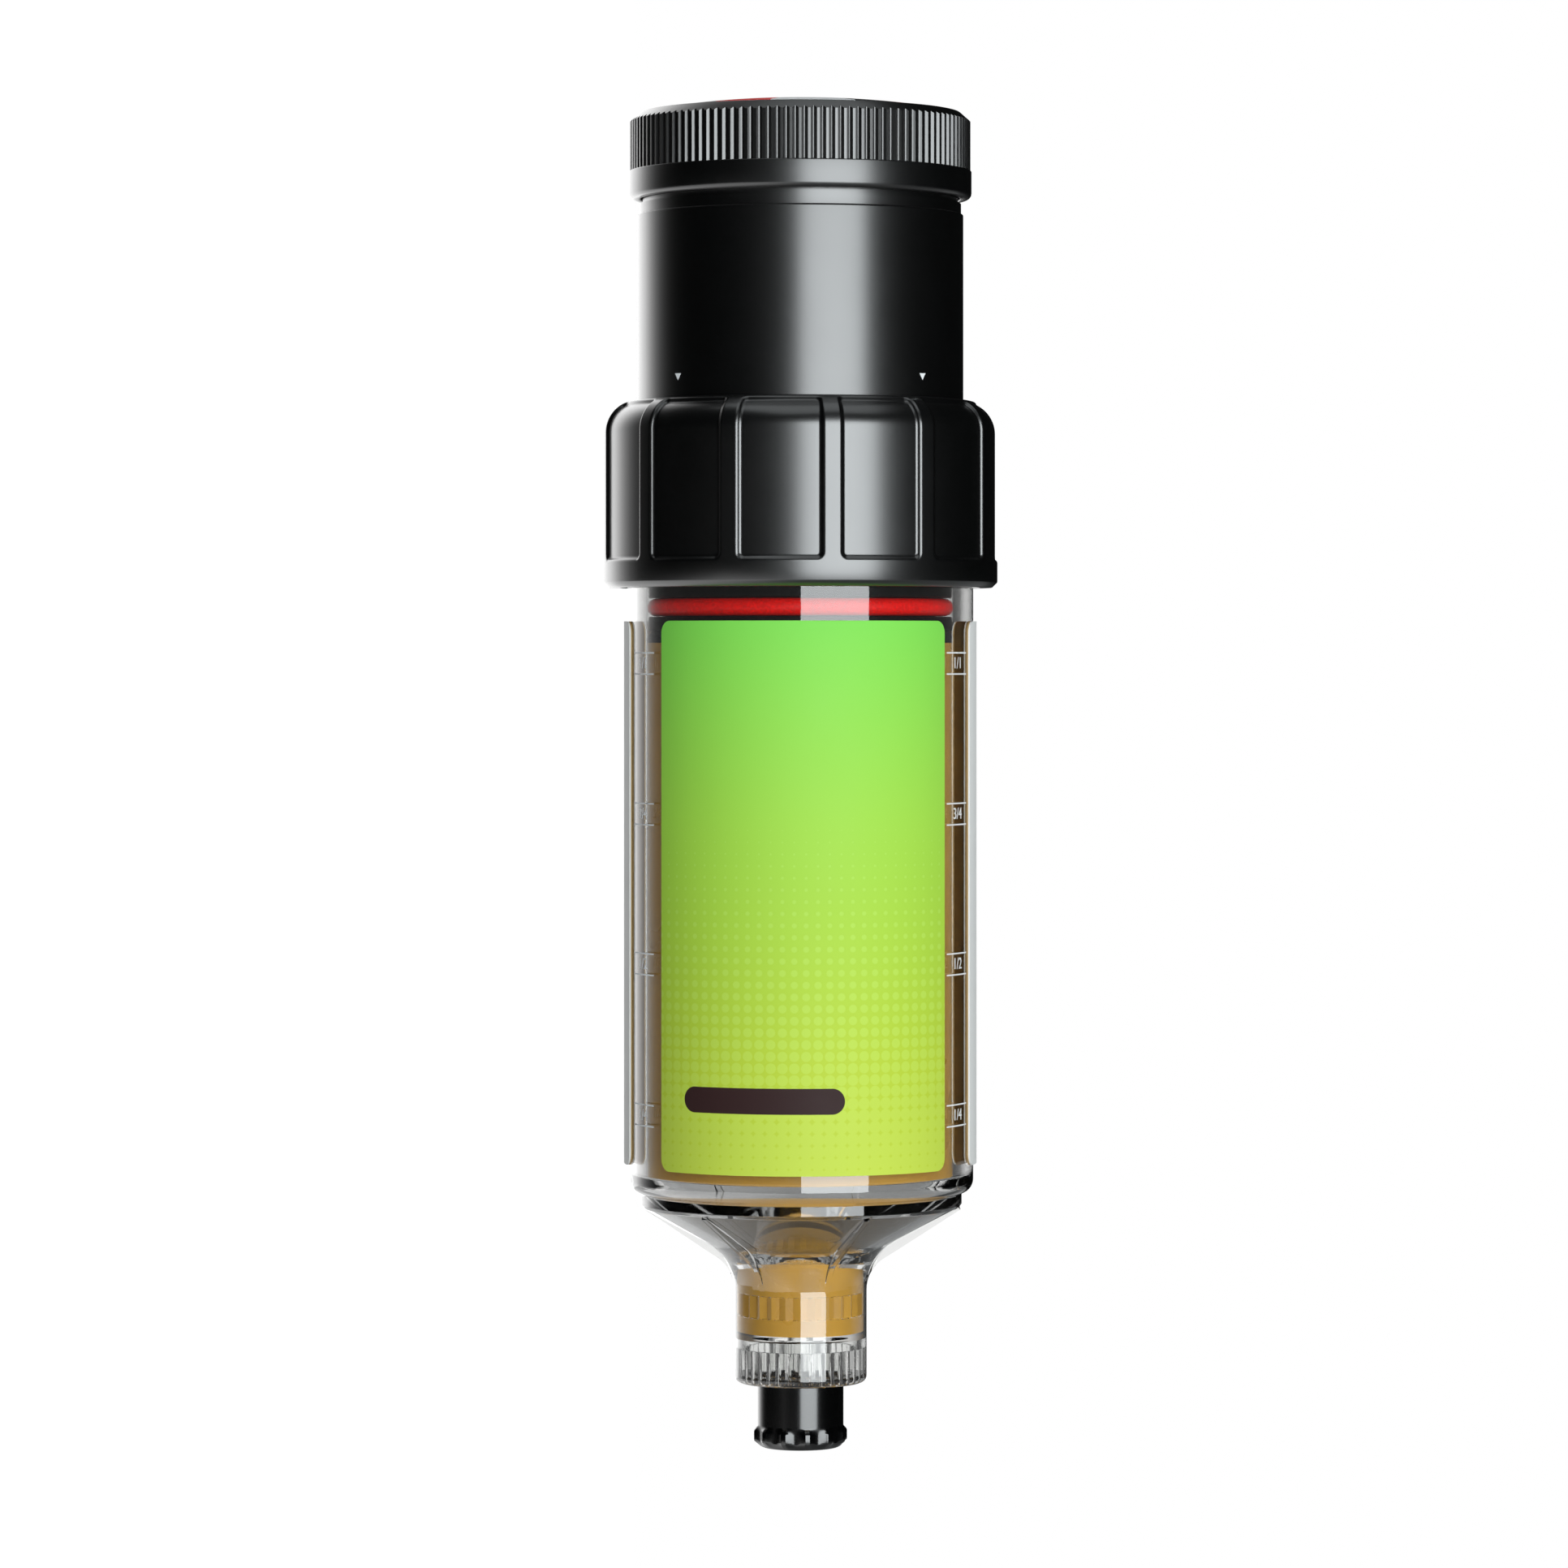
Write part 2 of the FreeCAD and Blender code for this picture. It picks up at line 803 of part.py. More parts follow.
def gear_profile(teeth, thinner):
    """Closed involute outline, each flank an arc through three points of the involute."""
    pitch_r = gear_module * teeth / 2
    base_r = pitch_r * math.cos(math.radians(pressure_angle))
    tip_r = pitch_r + gear_module
    root_r = pitch_r - 1.25 * gear_module

    def roll(radius):
        if radius <= base_r:
            return 0.0
        alpha = math.acos(base_r / radius)
        return math.tan(alpha) - alpha

    half_tooth = math.pi / (2 * teeth) - thinner / (4 * pitch_r)

    def flank(radius, side):
        return side * (half_tooth + roll(pitch_r) - roll(radius))

    def point(radius, angle):
        return Vector(radius * math.cos(angle), radius * math.sin(angle), 0)

    start_r = max(base_r, root_r)
    middle_r = (start_r + tip_r) / 2
    edges = []
    for i in range(teeth):
        centre = 2 * math.pi * i / teeth
        following = centre + 2 * math.pi / teeth
        foot_low = point(root_r, centre + flank(start_r, -1))
        rise_low = point(start_r, centre + flank(start_r, -1))
        middle_low = point(middle_r, centre + flank(middle_r, -1))
        tip_low = point(tip_r, centre + flank(tip_r, -1))
        tip_high = point(tip_r, centre + flank(tip_r, 1))
        middle_high = point(middle_r, centre + flank(middle_r, 1))
        rise_high = point(start_r, centre + flank(start_r, 1))
        foot_high = point(root_r, centre + flank(start_r, 1))
        next_foot = point(root_r, following + flank(start_r, -1))
        if start_r > root_r:
            edges.append(Part.makeLine(foot_low, rise_low))
        edges.append(Part.Arc(rise_low, middle_low, tip_low).toShape())
        edges.append(Part.makeLine(tip_low, tip_high))
        edges.append(Part.Arc(tip_high, middle_high, rise_high).toShape())
        if start_r > root_r:
            edges.append(Part.makeLine(rise_high, foot_high))
        edges.append(Part.makeLine(foot_high, next_foot))
    return Part.Face(Part.Wire(edges))


def gear_blank(teeth, low, high):
    face = gear_profile(teeth, backlash)
    face.translate(Vector(0, 0, low))
    return face.extrude(Vector(0, 0, high - low))


def output_gear():
    """Main gear with a thin web between its rim and its hub."""
    pocket_h = (gear_face - gear_web_t) / 2
    rim_inner = gear_module * gear_teeth / 2 - gear_module * 1.25 - gear_rim_t
    hub_r = gear_hub_d / 2
    gear = gear_blank(gear_teeth, gear_z, gear_top)
    gear = gear.cut(tube(rim_inner, hub_r, gear_z, gear_z + pocket_h))
    gear = gear.cut(tube(rim_inner, hub_r, gear_top - pocket_h, gear_top))
    gear = gear.cut(rod(shaft_d / 2, gear_z, gear_top))
    return spun(gear, 180.0)


def motor_pinion():
    """Pinion and its shaft, in mesh with the main gear on its -X side."""
    pinion = spun(gear_blank(pinion_teeth, gear_z, gear_top), 180.0 / pinion_teeth)
    shaft = rod(pinion_shaft_d / 2, gear_top, plate_top - seat_gap)
    pinion = joined([pinion, shaft])
    pinion.translate(Vector(-gear_distance, 0, 0))
    return pinion


def output_shaft():
    """Shaft with a hexagonal driver at its foot and a pin for the bushing at its head."""
    driver = hexagon(driver_flats, boss_low - driver_l, boss_low)
    shaft = rod(shaft_d / 2, boss_low, gear_top)
    pin = rod(bushing_pin_d / 2, gear_top, plate_top - seat_gap)
    return joined([driver, shaft, pin])


def gear_plate():
    plate = rod(housing_bore_r - running, ledge_z, plate_top)
    holes = [rod(bushing_d / 2, ledge_z, plate_top)]
    holes.append(rod(motor_boss_d / 2 + running, ledge_z, plate_top, x=-gear_distance))
    hole = rod(plate_screw_d / 2, ledge_z, plate_top)
    holes += at_places(hole, plate_screw_radius, plate_screw_places())
    return cut_all(plate, holes)


def shaft_bushing():
    outer = bushing_d / 2 - running / 2
    return tube(outer, bushing_pin_d / 2 + running, ledge_z, plate_top)


def gear_motor():
    """Gearbox with its round boss in the plate, motor can with flat sides, and end cap."""
    x = -gear_distance
    box_top = plate_top + gearbox_h
    can_top = box_top + motor_can_h
    box = block(motor_t, motor_w, plate_top, box_top, x)
    bearing = rod(motor_boss_d / 2, plate_top - motor_boss_h, plate_top, x)
    can = rod(motor_w / 2, box_top, can_top, x)
    can = can.common(block(motor_t, motor_w, box_top, can_top, x))
    cap = rod(motor_w / 3, can_top, can_top + motor_cap_h, x)
    motor = joined([box, bearing, can, cap])
    bore_top = plate_top + seat_gap
    return motor.cut(rod(pinion_shaft_d / 2 + running, plate_top - motor_boss_h, bore_top, x))


def cell_places():
    return [0.0, 90.0, 270.0]


def at_cells(shape):
    return at_places(shape, cell_radius, cell_places())


def board_post_places():
    return [45.0, 135.0, 225.0, 315.0]


def battery_holder():
    """Floor on the gear plate, three cradles for the cells and four posts for the board."""
    floor_top = plate_top + holder_floor_t
    cradle_in = cell_d / 2 + cell_gap
    floor = rod(housing_bore_r - slip, plate_top, floor_top)
    cradles = at_cells(rod(cradle_in + cradle_wall, plate_top, floor_top + cradle_h))
    posts = at_places(rod(post_d / 2, plate_top, board_z), post_radius, board_post_places())
    holder = joined([floor] + cradles + posts)
    room = rod(cradle_in, floor_top, floor_top + cradle_h)
    holder = cut_all(holder, at_cells(room))
    motor_room = block(motor_t + 2 * slip, motor_w + 2 * slip, plate_top, floor_top, -gear_distance)
    holes = [motor_room]
    head_room = rod(screw_cap_d / 2 + slip, plate_top, floor_top)
    holes += at_places(head_room, plate_screw_radius, plate_screw_places())
    pilot = rod(plate_screw_d / 2, board_z - screw_grip, board_z)
    holes += at_places(pilot, post_radius, board_post_places())
    return cut_all(holder, holes)


def battery_cells():
    """Three lithium cells, each with its raised pole."""
    low = cell_z + contact_t
    can = rod(cell_d / 2, low, low + cell_h)
    pole = rod(cell_nub_d / 2, low + cell_h, cell_top)
    return Part.makeCompound(at_cells(joined([can, pole])))


def lower_contacts():
    plate = block(contact_l, contact_w, cell_z, cell_z + contact_t)
    return Part.makeCompound(at_cells(plate))


def upper_contacts():
    """Bent springs that reach from the board down to each cell's pole."""
    high = board_z
    low = cell_top
    half = contact_l / 2
    foot = cell_nub_d / 3
    path = [
        (-half, high), (-half, high - contact_t), (-foot, high - contact_t), (-half / 2, low),
        (foot, low), (foot, low + contact_t), (-half / 2 + contact_t, low + contact_t),
        (-foot + contact_t, high - contact_t), (half, high - contact_t), (half, high),
    ]
    corners = [Vector(x, -contact_w / 2, z) for x, z in path]
    face = Part.Face(Part.makePolygon(corners + corners[:1]))
    spring = face.extrude(Vector(0, contact_w, 0))
    return Part.makeCompound(at_cells(spring))


def circuit_board():
    board = rod(board_r, board_z, board_top)
    hole = rod(plate_screw_d / 2, board_z, board_top)
    return cut_all(board, at_places(hole, post_radius, board_post_places()))


def board_screws():
    grip = board_t + screw_grip - slip
    return cap_screws(board_top, grip, post_radius, board_post_places(), True)


def window(width, height, low, high):
    margin = window_margin
    hole = block(width - 2 * margin, height - 2 * margin, low, high, y=lcd_y)
    upright = [edge for edge in hole.Edges if abs(edge.tangentAt(edge.FirstParameter).z) > 0.9]
    return hole.makeFillet(margin / 2, upright)


def control_panel():
    """Moulded lid over the electronics, with a skirt that stands on the board."""
    plate = rod(panel_r, panel_z, panel_top)
    skirt = tube(panel_r, panel_r - panel_skirt_t, board_top, panel_z)
    panel = joined([plate, skirt])
    button_hole = rod(button_d / 2 + slip / 2, panel_z, panel_top, y=button_y)
    led_hole = rod(led_d / 2 + running, panel_z, panel_top, led_x, led_y)
    return cut_all(panel, [window(lcd_w, lcd_h, panel_z, panel_top), button_hole, led_hole])


def panel_overlay():
    sheet = rod(panel_r - overlay_margin, panel_top, overlay_top)
    button_hole = rod(button_d / 2 + slip / 2, panel_top, overlay_top, y=button_y)
    led_hole = rod(led_d / 2 + running, panel_top, overlay_top, led_x, led_y)
    return cut_all(sheet, [window(lcd_w, lcd_h, panel_top, overlay_top), button_hole, led_hole])


def lcd_display():
    return block(lcd_w, lcd_h, board_top, panel_z, y=lcd_y)


def set_button():
    """Round key with a flange under the panel and a stem over the switch."""
    stem_low = board_top + switch_t + button_travel + seat_gap
    flange_low = panel_z - seat_gap - button_flange_t
    top = overlay_top + button_proud
    stem = rod(button_stem_d / 2, stem_low, flange_low, y=button_y)
    flange = rod(button_d / 2 + button_flange_w, flange_low, panel_z - seat_gap, y=button_y)
    key = rod(button_d / 2, panel_z - seat_gap, top, y=button_y)
    edge = [e for e in key.Edges if abs(e.CenterOfMass.z - top) < 1e-6 and e.Closed]
    key = key.makeFillet(button_proud, edge)
    return joined([stem, flange, key])


def push_switch():
    return block(switch_w, switch_w, board_top, board_top + switch_t, y=button_y)


def status_led():
    top = overlay_top + led_proud
    straight = rod(led_d / 2, board_top, top - led_d / 2, led_x, led_y)
    dome = Part.makeSphere(led_d / 2, Vector(led_x, led_y, top - led_d / 2))
    return joined([straight, dome])


def knurl_cuts():
    """Pointed grooves round the grip, one between each two teeth."""
    pitch = 2 * math.pi * knurl_r / knurl_teeth
    half = (pitch - knurl_land) / 2 * (1 + slip / knurl_depth)
    low = cover_z + cover_band_h
    face = Part.Face(Part.makePolygon([
        Vector(knurl_r + slip, -half, low),
        Vector(knurl_r + slip, half, low),
        Vector(knurl_r - knurl_depth, 0, low),
        Vector(knurl_r + slip, -half, low),
    ]))
    groove = face.extrude(Vector(0, 0, cover_top - low))
    return around(groove, knurl_teeth)


def cover_ring():
    """Screw cover: smooth band, knurled grip, ledge for the lens and groove for its seal."""
    band_top = cover_z + cover_band_h
    groove_r = housing_neck_r + running + cover_seal_d + running
    groove_low = cover_z + cover_seal_z - cover_seal_d / 2 - running
    groove_top = cover_z + cover_seal_z + cover_seal_d / 2 + running
    ledge_r = lens_r - cover_ledge_w
    body = turned(
        (cover_bore_r, cover_z),
        (cover_r - cover_corner, cover_z),
        (
            on_circle(cover_r - cover_corner, cover_z + cover_corner, cover_corner, -45),
            (cover_r, cover_z + cover_corner),
        ),
        (cover_r, band_top),
        (knurl_r, band_top),
        (knurl_r, cover_top - knurl_top),
        (knurl_r - cover_top_chamfer, cover_top),
        (lens_r + running, cover_top),
        (lens_r + running, cover_ledge),
        (ledge_r, cover_ledge),
        (ledge_r, cover_under),
        (cover_bore_r, cover_under),
        (cover_bore_r, groove_top),
        (groove_r, groove_top),
        (groove_r, groove_low),
        (cover_bore_r, groove_low),
    )
    return cut_all(body, knurl_cuts())


def cover_seal():
    centre = housing_neck_r + running + cover_seal_d / 2
    return torus(centre, cover_seal_d / 2, cover_z + cover_seal_z)


def lens_gasket():
    return tube(lens_r, lens_r - cover_ledge_w, cover_ledge, lens_z)


def dome_point(radius, height, share):
    """A point on a shallow dome of that radius and height, at a share of its radius."""
    ball = (radius * radius + height * height) / (2 * height)
    across = radius * share
    return (across, height - ball + math.sqrt(ball * ball - across * across))


def cover_lens():
    """Clear domed window, hollow underneath, on a flat foot."""
    inner_r = lens_r - lens_foot_w
    inner_h = lens_edge_t + lens_dome_h - lens_t
    over = dome_point(lens_r, lens_dome_h, 0.5)
    under = dome_point(inner_r, inner_h, 0.5)
    return turned(
        (inner_r, lens_z),
        (lens_r, lens_z),
        (lens_r, cover_top),
        ((over[0], cover_top + over[1]), (0, cover_top + lens_dome_h)),
        (0, lens_z + inner_h),
        ((under[0], lens_z + under[1]), (inner_r, lens_z)),
    )


def outlet_cap():
    """Closed cap on the nipple, with a fluted rim at its foot and a flange at its mouth."""
    cap_r = cap_d / 2
    rim_r_cap = cap_rim_d / 2
    bore = outlet_thread_d / 2 + running
    rim_low = cap_z + cap_rim_z
    rim_high = rim_low + cap_rim_h
    body = turned(
        (0, cap_z),
        (cap_foot_d / 2, cap_z),
        (rim_r_cap, rim_low),
        (rim_r_cap, rim_high),
        (cap_r, rim_high + cap_rim_slope),
        (cap_r, cap_top - cap_flange_t),
        (cap_flange_d / 2, cap_top - cap_flange_t),
        (cap_flange_d / 2, cap_top),
        (bore, cap_top),
        (bore, cap_z + cap_floor_t),
        (0, cap_z + cap_floor_t),
    )
    reach = rim_r_cap - cap_r + 1
    flute = block(reach, cap_flute_w, cap_z, rim_high + cap_rim_slope, x=cap_r + reach / 2)
    return cut_all(body, around(flute, cap_lug_count, azimuth(cap_turn_angle)))


def cap_washer():
    low = cap_z + cap_floor_t
    return tube(outlet_thread_d / 2 - slip, orifice_d / 2, low, low + washer_t)


def front_label():
    return label(front_label_left_angle, front_label_right_angle)


def rear_label():
    return label(rear_label_left_angle, rear_label_right_angle)


PIECES = [
    cartridge_shell, front_label, rear_label, grease_fill, grease_outlet, feed_screw,
    piston, piston_ring, wiper_seal, piston_nut, lock_ring, drive_housing, drive_base,
    mouth_seal, shaft_seal, output_bearing, base_screws, output_shaft, output_gear,
    motor_pinion, gear_plate, plate_screws, shaft_bushing, gear_motor, battery_holder,
    battery_cells, lower_contacts, upper_contacts, circuit_board, board_screws,
    control_panel, panel_overlay, lcd_display, set_button, push_switch, status_led,
    cover_ring, cover_seal, lens_gasket, cover_lens, outlet_cap, cap_washer,
]


def main():
    os.makedirs("parts", exist_ok=True)
    for piece in PIECES:
        piece().exportStep("parts/" + piece.__name__ + ".step")


main()
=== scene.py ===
import json
import math

import bmesh
import bpy
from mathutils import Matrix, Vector

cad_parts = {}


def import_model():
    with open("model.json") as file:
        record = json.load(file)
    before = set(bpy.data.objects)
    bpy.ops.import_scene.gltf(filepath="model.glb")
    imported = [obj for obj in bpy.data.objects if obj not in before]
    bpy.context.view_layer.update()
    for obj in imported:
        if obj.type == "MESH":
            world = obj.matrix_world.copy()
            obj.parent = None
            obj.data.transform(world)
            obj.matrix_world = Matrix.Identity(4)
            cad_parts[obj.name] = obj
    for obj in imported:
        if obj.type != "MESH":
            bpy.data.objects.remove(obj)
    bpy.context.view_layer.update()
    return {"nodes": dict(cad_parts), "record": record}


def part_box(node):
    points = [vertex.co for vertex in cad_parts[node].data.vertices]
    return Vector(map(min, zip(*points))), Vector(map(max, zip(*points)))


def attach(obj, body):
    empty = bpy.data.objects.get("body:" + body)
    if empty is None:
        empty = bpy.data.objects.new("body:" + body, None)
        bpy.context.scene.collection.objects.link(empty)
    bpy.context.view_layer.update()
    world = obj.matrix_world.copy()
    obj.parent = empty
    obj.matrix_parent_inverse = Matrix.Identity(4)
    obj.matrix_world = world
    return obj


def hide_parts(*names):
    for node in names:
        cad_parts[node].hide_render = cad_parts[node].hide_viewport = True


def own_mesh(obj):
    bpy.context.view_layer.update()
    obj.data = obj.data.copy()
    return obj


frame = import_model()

# Looks for a battery-driven grease lubricator with a clear cartridge.
# Sizes are in millimetres and become metres when a mesh is made. The front faces -Y.
# An azimuth counts from the front, positive towards +X.

MM = 0.001
rounding_steps = 4


def reach(node):
    """Outer radius, low end and high end of a round CAD node, in mm."""
    low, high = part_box(node)
    return high[0] / MM, low[2] / MM, high[2] / MM


# Places read from the frame
barrel_r, thread_foot, mouth_z = reach("cartridge_shell")
label_r, label_low, label_high = reach("rear_label")
grease_r, floor_z, piston_z = reach("grease_fill")
_, outlet_z, _ = reach("grease_outlet")
piston_r, _, piston_top = reach("piston")
_, screw_foot, screw_top = reach("feed_screw")
ring_r, ring_low, ring_high = reach("lock_ring")
flange_r, flange_low, neck_top = reach("drive_housing")
cover_r, cover_low, cover_high = reach("cover_ring")
lens_r, lens_low, lens_high = reach("cover_lens")
cap_flange_r, cap_low, cap_high = reach("outlet_cap")
seal_r, seal_low, seal_high = reach("piston_ring")

# Cartridge
bore_r = grease_r + 0.05
neck_r = 12.05
neck_corner = 1.2
neck_h = 15.5
funnel_fillet = 9.92
funnel_turn = 60.7
rim_r = 29.3
rim_low = 30.99
rim_high = 33.39
barrel_low = 35.79
outlet_bore_r = 7.5
cone_z = 22.2
inner_slope_h = 3.1
recess_r = 10.4
recess_top = 6.8
nipple_r = 6.58
nipple_root_r = 5.75
nipple_top = 1.8
nipple_neck_r = 5.7
nipple_bore_r = 3.0
nipple_pitch = 1.337
nipple_turns = 6.4
mouth_pitch = 3.0
mouth_turns = 3.2
orifice_r = 1.6
serration_count = 36
serration_depth = 0.5
serration_low = -0.4
serration_high = 5.1
rib_count = 20
rib_depth = 0.5
rib_low = 10.8
rib_high = 14.8
fin_count = 6
fin_azimuth = -36.0
fin_half_w = 0.5
fin_step = 1.2
fin_fillet = 6.8
fin_turn = 57.0
fin_room = 2.9

# Labels
label_corner = 2.2
front_label_edges = (-50.7, 53.7)
rear_label_edges = (72.5, 285.8)
dot_pitch = 2.1
dot_radius = 1.38
dots_start = 36.0
dots_end = 104.0
bare_bar = (-22.3, 8.0, 49.6, 54.2)
label_back = (0.42, 0.28, 0.12, 1)
rear_bar_pitch = 3.2
rear_bar_middle = 78.0
rear_bar_half_w = 14.0
rear_bars_top = 118.0

# Level marks and index marks
level_heights = {"1/1": 129.2, "3/4": 102.2, "1/2": 75.3, "1/4": 48.2}
level_azimuths = (64.0, -64.0)
level_half_gap = 1.9
level_half_turn = 7.5
level_line_h = 0.26
fraction_size = 2.9
index_azimuths = (-47.4, 47.4)
index_low = 179.75
index_h = 1.2
index_half_w = 0.78

# Grease, piston and screw
# Heights over which the funnel grease turns to its painted shade
funnel_shade_heights = (24.3, 24.9)
core_r = 4.3
grease_gap = 0.15
seal_groove = (137.59, 140.99)
seal_groove_depth = 3.0
piston_wall = 3.4
piston_plate_t = 3.0
piston_hub_r = 9.0
piston_nut_r = 7.05
piston_rib_count = 6
piston_rib_t = 1.4
wiper_w = 3.2
wiper_h = 2.2
screw_r = 4.0
screw_root_r = 3.3
screw_pin_r = 1.8
screw_pin_top = 20.7
screw_head_r = 6.0
screw_head_low = 149.39
screw_socket_r = 2.9
screw_socket_depth = 7.6
screw_pitch = 3.0
screw_turns = 40.6

# Union ring
ring_chamfer = 0.9
ring_bend = 5.9
ring_bore_r = 32.3
ring_hole_r = 29.9
ring_seat = ring_high - 7.3
pocket_count = 12
pocket_azimuth = 24.2
pocket_half = 13.1
pocket_depth = 0.65
pocket_foot = 4.4
pocket_corner = 1.6
pocket_reach = 74.0
pocket_slope = 1.25
edge_step = 0.12

# Drive housing and cover
housing_r = 29.6
housing_bore_r = 26.8
flange_t = 3.0
step_r = 29.2
step_drop = 2.9
collar_r = 28.6
collar_drop = 0.9
housing_pitch = 2.5
housing_turns = 2.2
gear_room_r = 23.0
gear_room_h = 7.3
band_h = 5.0
cover_bore_r = 29.0
knurl_r = 30.9
knurl_root_r = 30.3
knurl_count = 120
groove_half = 0.57
groove_foot = 0.28
lip_r = 29.1
lip_h = 1.6
dial_inner_r = 18.0
dial_outer_r = 26.5
lens_edge_t = 1.8
lens_t = 1.9
lens_foot_w = 4.0
lens_ledge_r = 25.8
lens_ledge_t = 2.0

# Prints and parts under the window
panel_line_r = 17.0
land_pitch = 2.54
land_r = 0.45
cell_span = (176.0, 213.0)

# Outlet cap
cap_r = 7.85
cap_rim_r = 8.55
cap_foot_r = 7.3
cap_floor_t = 3.0
cap_rim_low = 1.3
cap_rim_h = 1.7
cap_slope = 0.8
cap_bore_r = 6.65
cap_flange_t = 1.0
cap_flutes = 12
cap_azimuth = -6.0
cap_scallop_w = 3.3


def arc(centre_r, centre_z, radius, start, end, steps=8):
    """Points along an arc in the radius-height plane, angles in degrees."""
    points = []
    for i in range(steps + 1):
        angle = math.radians(start + (end - start) * i / steps)
        points.append((centre_r + radius * math.cos(angle), centre_z + radius * math.sin(angle)))
    return points


def rounded(*corners):
    """Outline through (radius, height, rounding) corners, with arcs for the rounded ones."""
    points = []
    for i, corner in enumerate(corners):
        here = Vector(corner[:2])
        rounding = corner[2] if len(corner) > 2 else 0.0
        if rounding == 0.0:
            points.append(tuple(here))
            continue
        back = (Vector(corners[i - 1][:2]) - here).normalized()
        ahead = (Vector(corners[(i + 1) % len(corners)][:2]) - here).normalized()
        half = math.acos(max(-1.0, min(1.0, back.dot(ahead)))) / 2
        middle = here + (back + ahead).normalized() * rounding / math.sin(half)
        start = here + back * rounding / math.tan(half) - middle
        end = here + ahead * rounding / math.tan(half) - middle
        first = math.atan2(start.y, start.x)
        sweep = math.remainder(math.atan2(end.y, end.x) - first, 2 * math.pi)
        points += arc(middle.x, middle.y, rounding, math.degrees(first),
                      math.degrees(first + sweep), rounding_steps)
    return points


def guarded(points, margin=0.12):
    """The outline with extra points close to the ends of its long straight runs."""
    result = []
    for here, there in zip(points, points[1:] + points[:1]):
        result.append(here)
        length = math.dist(here, there)
        if length > 5 * margin:
            for share in (margin / length, 1 - margin / length):
                result.append((here[0] + (there[0] - here[0]) * share,
                               here[1] + (there[1] - here[1]) * share))
    return result


def even_azimuths(count):
    """Azimuths all round, in degrees."""
    return [360.0 * i / count for i in range(count)]


def around_axis(azimuth, radius, height):
    """A place in metres, from an azimuth in degrees and a radius and a height in mm."""
    angle = math.radians(azimuth - 90.0)
    return (radius * math.cos(angle) * MM, radius * math.sin(angle) * MM, height * MM)


def placed(name, data):
    """A new object at the origin, in the scene."""
    made = bpy.data.objects.new(name, data)
    bpy.context.scene.collection.objects.link(made)
    return made


def plain_mesh(made):
    """The mesh that an object gives once its modifiers or its text are worked out."""
    graph = bpy.context.evaluated_depsgraph_get()
    return bpy.data.meshes.new_from_object(made.evaluated_get(graph))


def shade(mesh, sharp, merge=True, outward=True):
    """Smooth shading except at edges over sharp degrees, on faces that point outwards."""
    work = bmesh.new()
    work.from_mesh(mesh)
    if merge:
        bmesh.ops.remove_doubles(work, verts=work.verts, dist=1e-7)
    if outward:
        bmesh.ops.recalc_face_normals(work, faces=work.faces)
    work.to_mesh(mesh)
    work.free()
    mesh.shade_smooth()
    mesh.set_sharp_from_angle(angle=math.radians(sharp))


def make_object(name, verts, faces, sharp=35.0, outward=True):
    """An object at the origin from a vertex and a face list."""
    mesh = bpy.data.meshes.new(name)
    mesh.from_pydata(verts, [], faces)
    shade(mesh, sharp, outward=outward)
    return placed(name, mesh)


def lathe(name, points, azimuths=None, relief=None, sharp=35.0):
    """Turns a closed outline about the axis. relief moves a point, given as its azimuth,
    radius and height."""
    azimuths = azimuths or even_azimuths(192)
    count = len(azimuths)
    verts = []
    rings = []
    for radius, height in points:
        if radius < 1e-6:
            rings.append([len(verts)] * count)
            verts.append((0.0, 0.0, height * MM))
            continue
        rings.append([len(verts) + i for i in range(count)])
        for azimuth in azimuths:
            place = (azimuth, radius, height)
            verts.append(around_axis(*(relief(*place) if relief else place)))
    faces = []
    for low, high in zip(rings, rings[1:] + rings[:1]):
        for i in range(count):
            j = (i + 1) % count
            face = list(dict.fromkeys((low[i], low[j], high[j], high[i])))
            if len(face) > 2:
                faces.append(face)
    return make_object(name, verts, faces, sharp)


def clamp(value, low=0.0, high=1.0):
    return max(low, min(high, value))


def wave(azimuth, count):
    """Pointed wave round the axis, 1 at each tooth's tip and 0 at its root."""
    share = (azimuth * count / 360.0) % 1.0
    return 1.0 - abs(2.0 * share - 1.0)


def rolled_edge(inside, width, depth):
    """Depth at a distance inside an edge that turns down on one arc and out on another."""
    inside = clamp(inside, 0.0, width)
    if inside > width / 2:
        return depth - rolled_edge(width - inside, width, depth)
    radius = (width ** 2 + depth ** 2) / (4 * depth)
    return radius - math.sqrt(radius ** 2 - inside ** 2)


def off_pitch(azimuth, count, first):
    """Degrees from the nearest of count even places that start at first."""
    pitch = 360.0 / count
    return abs(math.remainder(azimuth - first, pitch))


# Node helpers

def node(tree, kind, inputs=None, **settings):
    """Adds a node. Each input is a socket to join or a plain value."""
    made = tree.nodes.new(kind)
    for name, value in settings.items():
        setattr(made, name, value)
    for key, value in (inputs or {}).items():
        if isinstance(value, bpy.types.NodeSocket):
            tree.links.new(value, made.inputs[key])
        else:
            made.inputs[key].default_value = value
    return made


def maths(tree, operation, *values, clamped=False):
    """A Math node's result, for sockets or numbers."""
    return node(tree, "ShaderNodeMath", dict(enumerate(values)),
                operation=operation, use_clamp=clamped).outputs[0]


def blended(tree, factor, first, second):
    """A colour between two colours, by a factor socket."""
    mix = node(tree, "ShaderNodeMix", {0: factor, 6: first, 7: second}, data_type="RGBA")
    return mix.outputs[2]


def own_place(tree):
    """Sockets for x, y and z in the object's own space, in metres."""
    place = node(tree, "ShaderNodeTexCoord").outputs["Object"]
    return node(tree, "ShaderNodeSeparateXYZ", {0: place}).outputs


def in_mm(tree, value):
    """A length in metres turned to millimetres."""
    return maths(tree, "MULTIPLY", value, 1 / MM)


